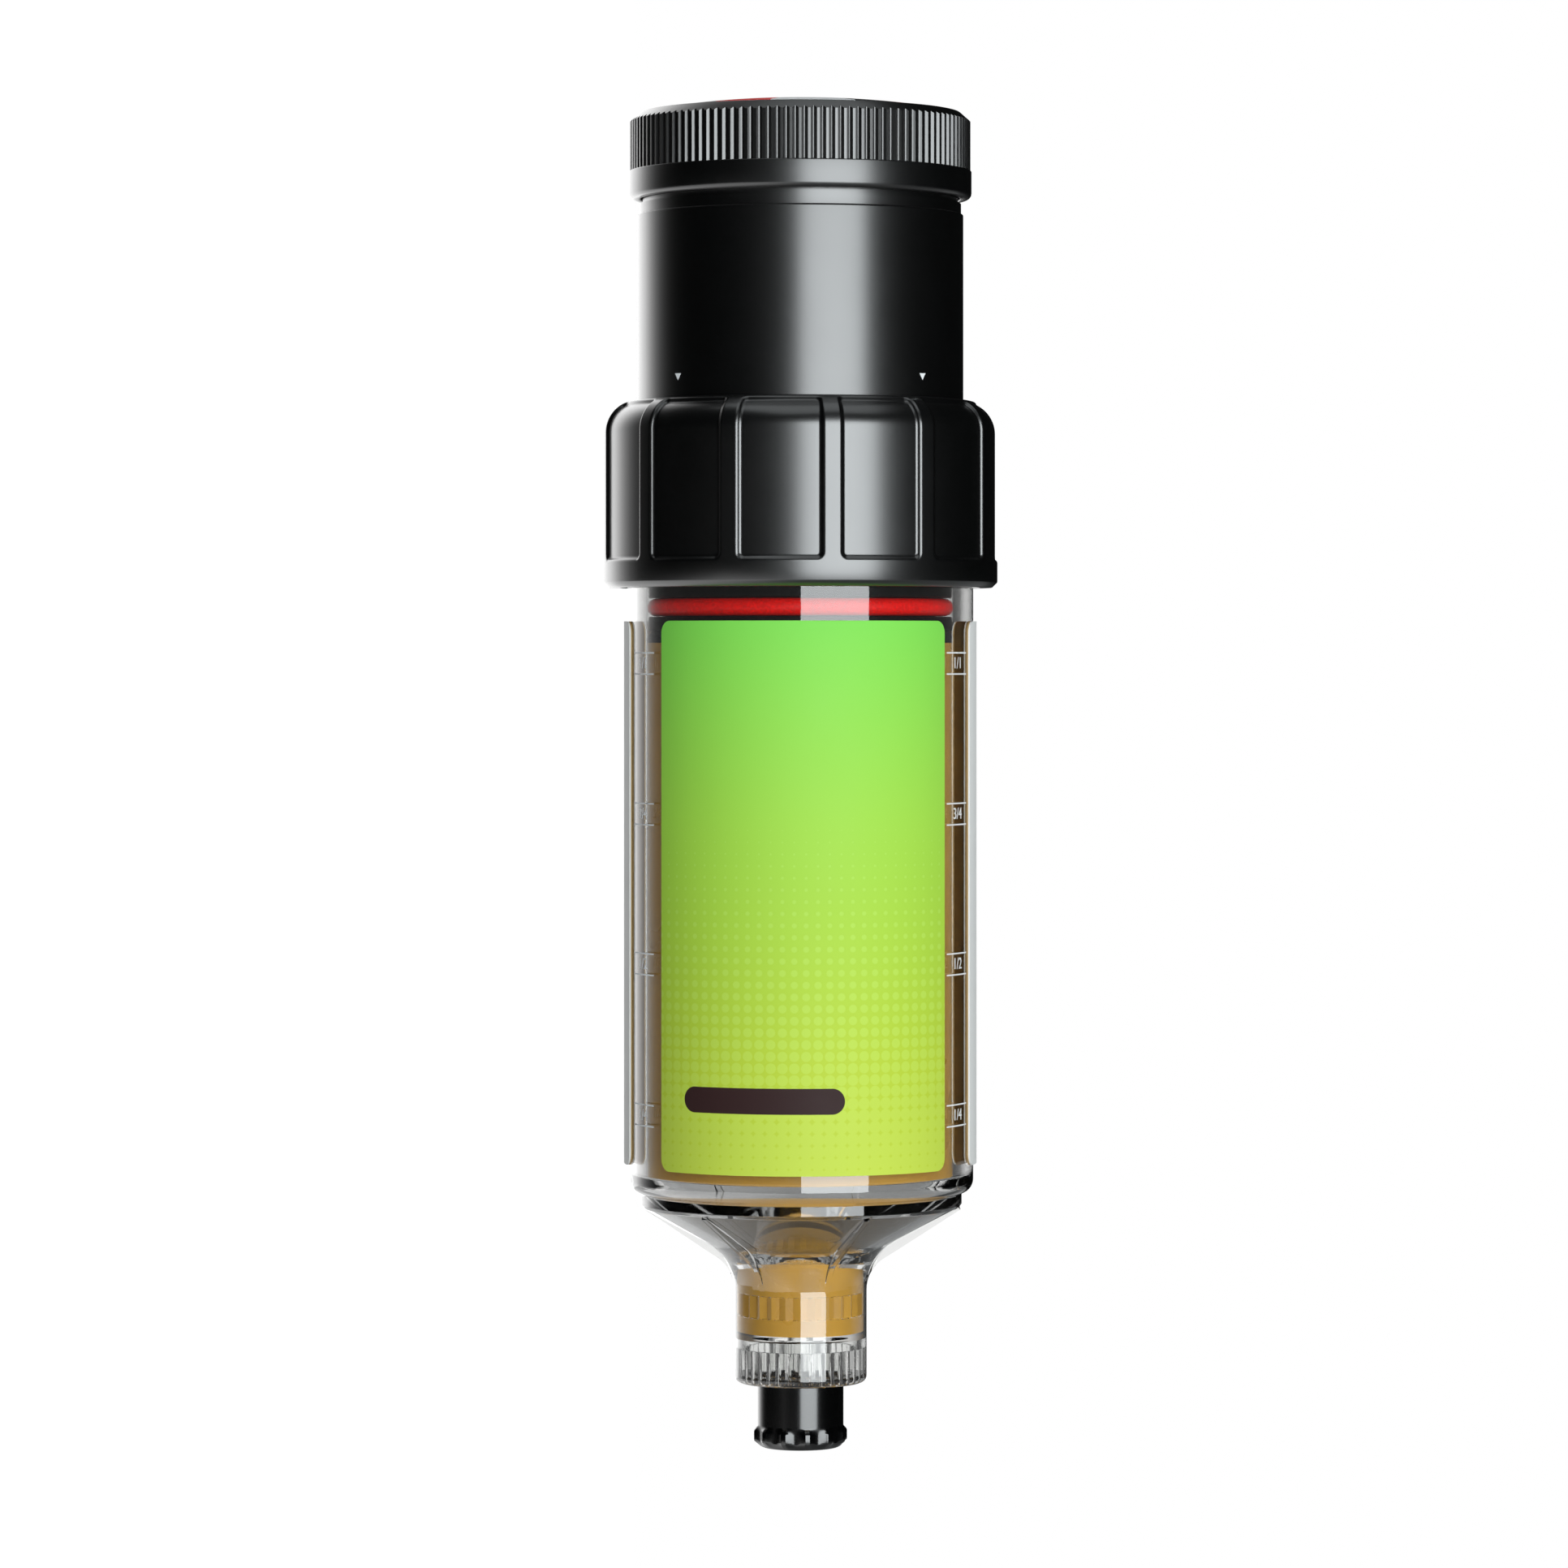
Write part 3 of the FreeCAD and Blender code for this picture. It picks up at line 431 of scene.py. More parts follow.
def apart(tree, value, other):
    """The difference of two values, without its sign."""
    return maths(tree, "ABSOLUTE", maths(tree, "SUBTRACT", value, other))


def length_of(tree, *parts):
    """The length of a vector, from its two parts."""
    squares = [maths(tree, "POWER", maths(tree, "ABSOLUTE", part), 2.0) for part in parts]
    return maths(tree, "SQRT", maths(tree, "ADD", *squares))


def mix_in(material, factor, second):
    """Mixes a second shader into a material, by a factor socket."""
    tree = material.node_tree
    mixed = node(tree, "ShaderNodeMixShader", {
        0: factor, 1: tree.nodes["Principled BSDF"].outputs[0], 2: second.outputs[0]})
    tree.links.new(mixed.outputs[0], tree.nodes["Material Output"].inputs["Surface"])


def new_tree(name, kind, inputs, outputs):
    """A node group with named sockets, and its input and output nodes."""
    tree = bpy.data.node_groups.new(name, kind)
    for label, socket in inputs.items():
        tree.interface.new_socket(label, in_out="INPUT", socket_type=socket)
    for label, socket in outputs.items():
        tree.interface.new_socket(label, in_out="OUTPUT", socket_type=socket)
    return tree, node(tree, "NodeGroupInput"), node(tree, "NodeGroupOutput")


# Repeated pieces

def copies_tree():
    """Copies of one piece, each turned by a step from the one before."""
    tree, given, result = new_tree("Copies about the axis", "GeometryNodeTree", {
        "Piece": "NodeSocketObject", "Count": "NodeSocketInt", "First turn": "NodeSocketFloat",
        "Turn step": "NodeSocketFloat", "Finish": "NodeSocketMaterial"},
        {"Geometry": "NodeSocketGeometry"})
    index = node(tree, "GeometryNodeInputIndex").outputs[0]
    turn = maths(tree, "MULTIPLY_ADD", index, given.outputs["Turn step"],
                 given.outputs["First turn"])
    places = node(tree, "GeometryNodePoints", {"Count": given.outputs["Count"]})
    piece = node(tree, "GeometryNodeObjectInfo", {"Object": given.outputs["Piece"]})
    spread = node(tree, "GeometryNodeInstanceOnPoints", {
        "Points": places.outputs[0], "Instance": piece.outputs["Geometry"],
        "Rotation": node(tree, "ShaderNodeCombineXYZ", {2: turn}).outputs[0]})
    real = node(tree, "GeometryNodeRealizeInstances", {"Geometry": spread.outputs[0]})
    dressed = node(tree, "GeometryNodeSetMaterial", {
        "Geometry": real.outputs[0], "Material": given.outputs["Finish"]})
    tree.links.new(dressed.outputs[0], result.inputs["Geometry"])
    return tree


def thread_tree():
    """A screw thread: a trapezoid swept up a helix, and laid round the axis."""
    tree, given, result = new_tree("Screw thread", "GeometryNodeTree", {
        "Radius": "NodeSocketFloat", "Low end": "NodeSocketFloat", "Turns": "NodeSocketFloat",
        "Pitch": "NodeSocketFloat", "Height": "NodeSocketFloat", "Foot": "NodeSocketFloat",
        "Crest": "NodeSocketFloat", "Finish": "NodeSocketMaterial"},
        {"Geometry": "NodeSocketGeometry"})
    length = maths(tree, "MULTIPLY", given.outputs["Turns"], given.outputs["Pitch"])
    helix = node(tree, "GeometryNodeCurveSpiral", {
        "Resolution": 64, "Rotations": given.outputs["Turns"],
        "Start Radius": given.outputs["Radius"], "End Radius": given.outputs["Radius"],
        "Height": length})
    upright = node(tree, "GeometryNodeSetCurveNormal", {"Curve": helix.outputs[0]},
                   mode="Z_UP")
    shape = node(tree, "GeometryNodeCurvePrimitiveQuadrilateral", {
        "Height": given.outputs["Height"], "Bottom Width": given.outputs["Foot"],
        "Top Width": given.outputs["Crest"], "Offset": 0.0}, mode="TRAPEZOID")
    turned = node(tree, "GeometryNodeTransform", {
        "Geometry": shape.outputs[0], "Rotation": (0.0, 0.0, math.radians(90.0))})
    sweep = node(tree, "GeometryNodeCurveToMesh", {
        "Curve": upright.outputs[0], "Profile Curve": turned.outputs[0], "Fill Caps": True})
    lift = node(tree, "ShaderNodeCombineXYZ", {2: given.outputs["Low end"]})
    raised = node(tree, "GeometryNodeTransform", {
        "Geometry": sweep.outputs[0], "Translation": lift.outputs[0]})
    dressed = node(tree, "GeometryNodeSetMaterial", {
        "Geometry": raised.outputs[0], "Material": given.outputs["Finish"]})
    tree.links.new(dressed.outputs[0], result.inputs["Geometry"])
    return tree


def grown(name, tree, values, sharp=35.0):
    """A plain mesh object made by a Geometry Nodes tree from named values."""
    carrier = placed(name, bpy.data.meshes.new(name))
    modifier = carrier.modifiers.new("Build", "NODES")
    modifier.node_group = tree
    for item in tree.interface.items_tree:
        if item.in_out == "INPUT" and item.name in values:
            modifier[item.identifier] = values[item.name]
    mesh = plain_mesh(carrier)
    carrier.modifiers.remove(modifier)
    carrier.data = mesh
    mesh.name = name
    shade(mesh, sharp, merge=False)
    return carrier


COPIES = copies_tree()
THREAD = thread_tree()


def copied(name, piece, finish, count, first=0.0):
    """Even copies of a piece about the axis. The piece itself is used up."""
    made = grown(name, COPIES, {
        "Piece": piece, "Count": count, "First turn": math.radians(first),
        "Turn step": math.radians(360.0 / count), "Finish": finish})
    bpy.data.objects.remove(piece)
    return made


def thread(name, finish, radius, low, turns, pitch, depth, foot, crest):
    """A thread that stands depth proud of a shaft of that radius."""
    return grown(name, THREAD, {
        "Radius": (radius + depth / 2) * MM, "Low end": low * MM, "Turns": turns,
        "Pitch": pitch * MM, "Height": depth * 1.1 * MM, "Foot": foot * MM,
        "Crest": crest * MM, "Finish": finish})


# Materials

def grain_group():
    """Fine grain and broad clouds in object space, from 0 to 1."""
    tree, given, result = new_tree("Moulding grain", "ShaderNodeTree", {
        "Grain per mm": "NodeSocketFloat", "Cloud per mm": "NodeSocketFloat",
        "Stretch": "NodeSocketVector"}, {
        "Grain": "NodeSocketFloat", "Cloud": "NodeSocketFloat"})
    place = node(tree, "ShaderNodeTexCoord").outputs["Object"]
    drawn = node(tree, "ShaderNodeVectorMath", {0: place, 1: given.outputs["Stretch"]},
                 operation="MULTIPLY").outputs[0]
    for label, detail in (("Grain", 3.0), ("Cloud", 2.0)):
        scale = maths(tree, "MULTIPLY", given.outputs[label + " per mm"], 1 / MM)
        noise = node(tree, "ShaderNodeTexNoise", {
            "Vector": drawn, "Scale": scale, "Detail": detail, "Roughness": 0.55})
        tree.links.new(noise.outputs["Fac"], result.inputs[label])
    return tree


def wrap_group():
    """Unrolls the barrel: millimetres round it from the front, and millimetres up it."""
    tree, given, result = new_tree("Unrolled barrel", "ShaderNodeTree", {
        "Radius in mm": "NodeSocketFloat"}, {
        "Round": "NodeSocketFloat", "Up": "NodeSocketFloat"})
    x, y, z = own_place(tree)
    angle = maths(tree, "ARCTAN2", x, maths(tree, "MULTIPLY", y, -1.0))
    round_it = maths(tree, "MULTIPLY", angle, given.outputs["Radius in mm"])
    tree.links.new(round_it, result.inputs["Round"])
    tree.links.new(in_mm(tree, z), result.inputs["Up"])
    return tree


def dots_group():
    """Rows of round dots, 1 inside a dot and 0 outside it."""
    tree, given, result = new_tree("Rows of dots", "ShaderNodeTree", {
        "Across": "NodeSocketFloat", "Up": "NodeSocketFloat", "Pitch": "NodeSocketFloat",
        "Radius": "NodeSocketFloat"}, {"Dot": "NodeSocketFloat"})
    offsets = []
    for label in ("Across", "Up"):
        share = maths(tree, "DIVIDE", given.outputs[label], given.outputs["Pitch"])
        cell = maths(tree, "SUBTRACT", maths(tree, "FRACT", share), 0.5)
        offsets.append(maths(tree, "MULTIPLY", cell, given.outputs["Pitch"]))
    edge = maths(tree, "SUBTRACT", given.outputs["Radius"], length_of(tree, *offsets))
    dot = maths(tree, "MULTIPLY_ADD", edge, 6.0, 0.5, clamped=True)
    tree.links.new(dot, result.inputs["Dot"])
    return tree


GRAIN = grain_group()
WRAP = wrap_group()
DOTS = dots_group()


def unrolled(tree, radius=0.0):
    """Sockets for the millimetres round a wall of that radius, and up it."""
    wrap = node(tree, "ShaderNodeGroup", {"Radius in mm": radius}, node_tree=WRAP)
    return wrap.outputs["Round"], wrap.outputs["Up"]


def ramp(tree, factor, *stops, kind="LINEAR"):
    """A colour ramp over (place, colour) stops."""
    made = node(tree, "ShaderNodeValToRGB", {0: factor})
    made.color_ramp.interpolation = kind
    elements = made.color_ramp.elements
    while len(elements) < len(stops):
        elements.new(0.5)
    for element, (place, colour) in zip(elements, stops):
        element.position = place
        element.color = (*colour, 1.0)
    return made.outputs[0]


def between(tree, value, low, high):
    """0 at low and 1 at high, held outside them."""
    return maths(tree, "DIVIDE", maths(tree, "SUBTRACT", value, low), high - low, clamped=True)


def surface(name, colour, rough, grain=8.0, cloud=0.15, swing=0.12, relief=0.02,
            vary=0.06, stretch=(1.0, 1.0, 1.0), **values):
    """A finish whose colour and roughness drift in clouds, over a fine grain that stands
    relief mm proud. values go on the shader's own sockets."""
    material = bpy.data.materials.new(name)
    material.use_nodes = True
    tree = material.node_tree
    shader = tree.nodes["Principled BSDF"]
    noise = node(tree, "ShaderNodeGroup", {
        "Grain per mm": grain, "Cloud per mm": cloud, "Stretch": stretch}, node_tree=GRAIN)
    if isinstance(colour, tuple):
        deep = tuple(part * (1 - swing) for part in colour) + (1.0,)
        pale = tuple(min(1.0, part * (1 + swing)) for part in colour) + (1.0,)
        colour = blended(tree, noise.outputs["Cloud"], deep, pale)
    else:
        colour = colour(tree, noise)
    tree.links.new(colour, shader.inputs["Base Color"])
    rougher = maths(tree, "MULTIPLY_ADD", noise.outputs["Cloud"], 2 * vary, rough - vary,
                    clamped=True)
    tree.links.new(rougher, shader.inputs["Roughness"])
    bump = node(tree, "ShaderNodeBump", {
        "Height": noise.outputs["Grain"], "Distance": relief * MM, "Strength": 0.5})
    tree.links.new(bump.outputs[0], shader.inputs["Normal"])
    for key, value in values.items():
        shader.inputs[key.replace("_", " ")].default_value = value
    return material


def clear(name, tint, rough, **values):
    """A clear moulding, which lets light straight through to what is inside it."""
    material = surface(name, tint, rough, grain=0.6, cloud=0.05, swing=0.02, relief=0.01,
                       vary=rough * 0.6, Transmission_Weight=1.0, **values)
    tree = material.node_tree
    path = node(tree, "ShaderNodeLightPath")
    through = node(tree, "ShaderNodeBsdfTransparent", {0: (0.94, 0.95, 0.95, 1.0)})
    mix_in(material, path.outputs["Is Shadow Ray"], through)
    return material


# Finishes

def black_colour(tree, noise):
    """Deep black, hardly paler in clouds."""
    return blended(tree, noise.outputs["Cloud"], (0.0006, 0.0007, 0.0007, 1),
                   (0.001, 0.0011, 0.0012, 1))


def grease_colour(tree, noise):
    """Amber, a little darker in clouds."""
    return blended(tree, noise.outputs["Cloud"], (0.52, 0.267, 0.038, 1), (0.7, 0.39, 0.066, 1))


def funnel_grease_colour(tree, noise):
    """Amber in the neck, turning dark and olive up in the funnel: painted shade, where little
    light gets in.
    """
    _, up = unrolled(tree)
    # Painted shade: the dark olive colour of the grease up in the funnel
    deep = blended(tree, noise.outputs["Cloud"], (0.06, 0.034, 0.006, 1), (0.1, 0.058, 0.012, 1))
    return blended(tree, between(tree, up, *funnel_shade_heights), grease_colour(tree, noise), deep)


def red_colour(tree, noise):
    """Red with a coarse dark grain."""
    grain = between(tree, noise.outputs["Grain"], 0.35, 0.65)
    return blended(tree, grain, (0.62, 0.003, 0.002, 1), (0.96, 0.005, 0.003, 1))


def inner_side(tree):
    """1 on the inner face of a label, which shows through the clear wall, and 0 outside."""
    x, y, _ = own_place(tree)
    return between(tree, length_of(tree, x, y), (barrel_r + 0.32) * MM, (barrel_r + 0.28) * MM)


def capsule(tree, across, up, left, right, low, high):
    """1 inside a flat bar with round ends, and 0 outside it."""
    radius = (high - low) / 2
    past = maths(tree, "SUBTRACT", apart(tree, across, (left + right) / 2),
                 (right - left) / 2 - radius)
    away = length_of(tree, maths(tree, "MAXIMUM", past, 0.0), apart(tree, up, (high + low) / 2))
    return between(tree, away, radius + 0.04, radius - 0.04)


def front_print(tree, noise):
    """A green field with a halftone of round dots, and a bare dark bar low down."""
    across, up = unrolled(tree, label_r)
    height = between(tree, up, label_low, label_high)
    field = ramp(tree, height, (0.0, (0.47, 0.6, 0.045)), (0.2, (0.45, 0.6, 0.045)),
                 (0.64, (0.335, 0.65, 0.066)), (1.0, (0.205, 0.67, 0.085)))
    pale = ramp(tree, height, (0.0, (0.58, 0.72, 0.11)), (0.64, (0.43, 0.73, 0.13)),
                (1.0, (0.3, 0.76, 0.16)))
    radius = maths(tree, "MULTIPLY", between(tree, up, dots_end, dots_start), dot_radius)
    dots = node(tree, "ShaderNodeGroup", {
        "Across": across, "Up": up, "Pitch": dot_pitch, "Radius": radius}, node_tree=DOTS)
    field = blended(tree, maths(tree, "MULTIPLY", dots.outputs[0], 0.42), field, pale)
    bar = capsule(tree, across, up, *bare_bar)
    field = blended(tree, bar, field, (0.028, 0.011, 0.011, 1))
    return blended(tree, inner_side(tree), field, label_back)


def rear_print(tree, noise):
    """A pale field with plain grey bars where a label's small print would be."""
    across, up = unrolled(tree, label_r)
    line = maths(tree, "FRACT", maths(tree, "DIVIDE", up, rear_bar_pitch))
    bar = between(tree, apart(tree, line, 0.5), 0.2, 0.16)
    aside = apart(tree, maths(tree, "ABSOLUTE", across), rear_bar_middle)
    column = between(tree, aside, rear_bar_half_w, rear_bar_half_w - 0.2)
    held = between(tree, up, rear_bars_top, rear_bars_top - 0.4)
    mask = maths(tree, "MULTIPLY", maths(tree, "MULTIPLY", bar, column), held)
    print_side = blended(tree, mask, (0.84, 0.84, 0.82, 1), (0.3, 0.31, 0.32, 1))
    return blended(tree, inner_side(tree), print_side, label_back)


def cell_colour(tree, noise):
    """Dark sleeves with a copper-coloured top third and a bare metal end."""
    height = between(tree, unrolled(tree)[1], *cell_span)
    return ramp(tree, height, (0.0, (0.02, 0.02, 0.022)), (0.66, (0.022, 0.022, 0.024)),
                (0.68, (0.5, 0.32, 0.1)), (0.98, (0.55, 0.35, 0.12)), (1.0, (0.6, 0.6, 0.6)))


def board_colour(tree, noise):
    """Green lacquer with pale lands in rows."""
    x, y, _ = own_place(tree)
    dots = node(tree, "ShaderNodeGroup", {
        "Across": in_mm(tree, x), "Up": in_mm(tree, y), "Pitch": land_pitch, "Radius": land_r},
        node_tree=DOTS)
    base = blended(tree, noise.outputs["Cloud"], (0.012, 0.11, 0.035, 1), (0.02, 0.17, 0.055, 1))
    return blended(tree, dots.outputs[0], base, (0.6, 0.5, 0.25, 1))


def panel_colour(tree, noise):
    """A dark face with a thin pale line round it."""
    x, y, _ = own_place(tree)
    aside = apart(tree, in_mm(tree, length_of(tree, x, y)), panel_line_r)
    base = blended(tree, noise.outputs["Cloud"], (0.014, 0.014, 0.016, 1),
                   (0.024, 0.024, 0.026, 1))
    return blended(tree, between(tree, aside, 0.16, 0.12), base, (0.5, 0.51, 0.52, 1))


def dial_colour(tree, noise):
    """Green, red, white and dark sectors, three times round."""
    degrees, _ = unrolled(tree, 180 / math.pi)
    share = maths(tree, "FRACT", maths(tree, "MULTIPLY_ADD", degrees, 1 / 120, 0.5))
    dark = (0.02, 0.021, 0.022)
    red = (0.85, 0.006, 0.005)
    return ramp(tree, share, (0.0, (0.04, 0.5, 0.05)), (0.1, dark), (0.2, red),
                (0.4, (0.85, 0.86, 0.86)), (0.68, dark), (0.87, red), (0.95, dark),
                kind="CONSTANT")


def lcd_colour(tree, noise):
    """A grey-green display with four dark bars of a plain gauge."""
    x, y, _ = own_place(tree)
    low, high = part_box("lcd_display")
    half_x = (high[0] - low[0]) / 2 / MM
    half_y = (high[1] - low[1]) / 2 / MM
    aside = maths(tree, "SUBTRACT", in_mm(tree, x), (low[0] + high[0]) / 2 / MM)
    along = apart(tree, in_mm(tree, y), (low[1] + high[1]) / 2 / MM)
    cell = maths(tree, "FRACT", maths(tree, "DIVIDE", aside, half_x * 0.4))
    bars = between(tree, apart(tree, cell, 0.5), 0.36, 0.33)
    inside = between(tree, maths(tree, "ABSOLUTE", aside), half_x * 0.81, half_x * 0.79)
    tall = between(tree, along, half_y * 0.5, half_y * 0.47)
    mask = maths(tree, "MULTIPLY", maths(tree, "MULTIPLY", bars, inside), tall)
    base = blended(tree, noise.outputs["Cloud"], (0.38, 0.42, 0.33, 1), (0.44, 0.48, 0.38, 1))
    return blended(tree, maths(tree, "MULTIPLY", mask, 0.85), base, (0.03, 0.035, 0.03, 1))


FINISHES = {
    "clear_shell": clear("Clear polycarbonate", (0.97, 0.975, 0.965), 0.04, IOR=1.52,
                         Coat_Weight=1.0, Coat_Roughness=0.03, Coat_IOR=1.5),
    "front_print": surface("Printed front label", front_print, 0.6, relief=0.004,
                           Specular_IOR_Level=0.25),
    "rear_print": surface("Printed rear label", rear_print, 0.6, relief=0.004,
                          Specular_IOR_Level=0.25),
    "grease": surface("Amber grease", grease_colour, 0.3, grain=0.5, cloud=0.06, relief=0.2,
                      vary=0.1, Coat_Weight=0.3, Coat_Roughness=0.12),
    "funnel_grease": surface("Amber grease in the funnel", funnel_grease_colour, 0.3, grain=0.5,
                             cloud=0.06, relief=0.2, vary=0.1, Coat_Weight=0.3,
                             Coat_Roughness=0.12),
    "black_gloss": surface("Satin black plastic", black_colour, 0.31, grain=3.0, relief=0.004,
                           vary=0.02, Specular_IOR_Level=1.0, Coat_Weight=1.0,
                           Coat_Roughness=0.26, Coat_IOR=1.6),
    "black_matte": surface("Fine-grained black plastic", black_colour, 0.32, grain=4.0,
                           relief=0.008, vary=0.03, Specular_IOR_Level=0.9, Coat_Weight=1.0,
                           Coat_Roughness=0.27, Coat_IOR=1.6),
    "red_rubber": surface("Red rubber", red_colour, 0.42, grain=2.2, relief=0.06,
                          Specular_IOR_Level=0.2, Coat_Weight=0.5, Coat_Roughness=0.16),
    "cap_black": surface("Satin cap plastic", black_colour, 0.2, grain=3.0, relief=0.004,
                         vary=0.02, Specular_IOR_Level=0.7, Coat_Weight=0.6,
                         Coat_Roughness=0.16, Coat_IOR=1.6),
    "dull_black": surface("Dull black plastic", black_colour, 0.55, grain=3.0, relief=0.01,
                          Specular_IOR_Level=0.2),
    "black_rubber": surface("Black rubber", black_colour, 0.6, grain=3.0, relief=0.03),
    "brass_metal": surface("Turned brass", (0.78, 0.56, 0.24), 0.26, grain=5.0, relief=0.01,
                           stretch=(1.0, 1.0, 14.0), Metallic=1.0),
    "steel": surface("Bright steel", (0.62, 0.63, 0.64), 0.28, grain=5.0, relief=0.01,
                     stretch=(1.0, 1.0, 14.0), Metallic=1.0),
    "white_plastic": surface("Acetal", (0.78, 0.78, 0.75), 0.36, grain=3.0, swing=0.03),
    "grey_plastic": surface("Grey plastic", (0.2, 0.205, 0.21), 0.42, grain=4.0, swing=0.08),
    "cell_sleeve": surface("Battery sleeves", cell_colour, 0.32, relief=0.004, Metallic=0.5),
    "board_green": surface("Circuit board", board_colour, 0.35, relief=0.01),
    "panel_print": surface("Printed panel", panel_colour, 0.36, relief=0.01),
    "dial_print": surface("Printed dial", dial_colour, 0.6, relief=0.002,
                          Specular_IOR_Level=0.1),
    "lcd_glass": surface("Display", lcd_colour, 0.12, relief=0.002, vary=0.03),
    "lens_clear": clear("Clear lens", (0.97, 0.975, 0.97), 0.03, IOR=1.5),
    "white_print": surface("White print", (0.82, 0.84, 0.85), 0.5, swing=0.03),
    "key_red": surface("Red key", (0.62, 0.02, 0.02), 0.42, grain=3.0),
    "led_green": surface("Green lamp", (0.05, 0.6, 0.12), 0.2, Coat_Weight=0.5),
}


def finish(piece, body, slot_name, *stands_for):
    """Gives a piece its finish and its body, and hides the CAD nodes it stands for."""
    piece.data.materials.clear()
    piece.data.materials.append(FINISHES[slot_name])
    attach(piece, body)
    if stands_for:
        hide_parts(*stands_for)
    return piece


# Cartridge

def fin_azimuths(count):
    """Even azimuths, which make room at each fin for its middle, its edges and its foot."""
    azimuths = set(even_azimuths(count))
    for i in range(fin_count):
        place = fin_azimuth + 360.0 / fin_count * i
        azimuths = {a for a in azimuths if abs(math.remainder(a - place, 360.0)) > fin_room}
        azimuths |= {(place + step * fin_step) % 360.0 for step in (-2, -1, 0, 1, 2)}
    return sorted(azimuths)


def fin_surface(azimuth, radius, height):
    """A point of the funnel's outside, moved out to the crest where a fin stands on it."""
    aside = math.remainder(azimuth - fin_azimuth, 360.0 / fin_count)
    if abs(aside) > 2.5 * fin_step:
        return azimuth, radius, height
    step = round(aside / fin_step)
    offset = math.copysign(min(abs(step), 1) * fin_half_w + (abs(step) > 1) * 0.07, step)
    azimuth += math.degrees(offset / radius) - aside
    if abs(step) > 1:
        return azimuth, radius, height
    turn = math.atan2(height - neck_h, neck_r + funnel_fillet - radius)
    turn = min(turn, math.radians(funnel_turn))
    across = neck_r + fin_fillet - radius
    above = height - neck_h
    steepest = math.radians(fin_turn)
    if math.atan2(above, across) < steepest:
        lift = math.hypot(across, above) - fin_fillet
    else:
        lift = across * math.cos(steepest) + above * math.sin(steepest) - fin_fillet
    lift = max(0.0, lift)
    return azimuth, radius + lift * math.cos(turn), height - lift * math.sin(turn)


def inner_slope(gap):
    """The steep slope between the bore and the cone, a gap inside the wall."""
    inner = bore_r - gap
    high = floor_z + inner_slope_h
    return ([(inner, high + 0.2), (inner - 0.1, high - 0.04)]
            + [(inner - inner_slope_h * i / 3, high - inner_slope_h * i / 3) for i in (1, 2, 3)])


def cartridge_shell():
    """Clear bottle, with its funnel fins, the recess serrations and the ribs in the neck."""
    fillet = arc(neck_r + funnel_fillet, neck_h, funnel_fillet, 180.0, 180.0 - funnel_turn, 14)
    shoulder = arc(rim_r, barrel_low, barrel_r - rim_r, -90.0, 0.0, 8)
    shoulder = [(r, rim_high + (z - barrel_low + barrel_r - rim_r)
                 * (barrel_low - rim_high) / (barrel_r - rim_r)) for r, z in shoulder]
    outline = [
        (recess_r, serration_low), (recess_r, -neck_corner + 0.15),
        (recess_r + 0.15, -neck_corner)]
    outline += arc(neck_r - neck_corner, 0.0, neck_corner, -90.0, 0.0, 6)
    outline += fillet
    outline += [(rim_r - 0.4, rim_low - 0.28), (rim_r, rim_low + 0.3)]
    outline += [(rim_r, rim_high - 0.3)] + shoulder[1:]
    outline += [(barrel_r, mouth_z - 0.6), (barrel_r - 0.6, mouth_z), (bore_r + 0.3, mouth_z),
                (bore_r, mouth_z - 0.3)]
    outline += inner_slope(0.0)
    outline += [(outlet_bore_r + 0.7, cone_z + 0.3), (outlet_bore_r, cone_z - 0.8)]
    outline += [(outlet_bore_r, rib_high + 0.1), (outlet_bore_r, rib_high - 0.1),
                (outlet_bore_r, rib_low + 0.1), (outlet_bore_r, rib_low - 0.1)]
    outline += [(outlet_bore_r, outlet_z), (orifice_r, outlet_z), (orifice_r, recess_top),
                (nipple_bore_r, recess_top), (nipple_bore_r, thread_foot)]
    outline += [(nipple_r - 0.9, thread_foot), (nipple_root_r, thread_foot + 0.6),
                (nipple_root_r, nipple_top), (nipple_neck_r, nipple_top),
                (nipple_neck_r, recess_top)]
    outline += [(recess_r, recess_top), (recess_r, serration_high),
                (recess_r, serration_high - 0.1)]
    inner_slant = (floor_z - cone_z) / (bore_r - outlet_bore_r)

    def relief(azimuth, radius, height):
        if height > cone_z + max(-0.1, (radius - outlet_bore_r) * inner_slant - 1.5):
            return azimuth, radius, height
        if abs(radius - outlet_bore_r) < 0.01 and rib_low < height < rib_high:
            return azimuth, radius - rib_depth * wave(azimuth, rib_count), height
        if abs(radius - recess_r) < 0.01 and serration_low < height < serration_high:
            return azimuth, radius - serration_depth * wave(azimuth, serration_count), height
        if neck_h < height < rim_low - 0.2 and radius > neck_r + 0.001:
            return fin_surface(azimuth, radius, height)
        return azimuth, radius, height

    shell = lathe("clear_cartridge", guarded(outline), fin_azimuths(360), relief, sharp=42.0)
    finish(shell, "cartridge", "clear_shell", "cartridge_shell")
    nipple = thread("nipple_thread", FINISHES["clear_shell"], nipple_root_r, thread_foot + 1.2,
                    nipple_turns, nipple_pitch, nipple_r - nipple_root_r - 0.05, 1.15, 0.2)
    finish(nipple, "cartridge", "clear_shell")
    mouth = thread("mouth_thread", FINISHES["clear_shell"], barrel_r - 0.02, mouth_z - 14.0,
                   mouth_turns, mouth_pitch, 0.55, 1.8, 0.8)
    finish(mouth, "cartridge", "clear_shell")


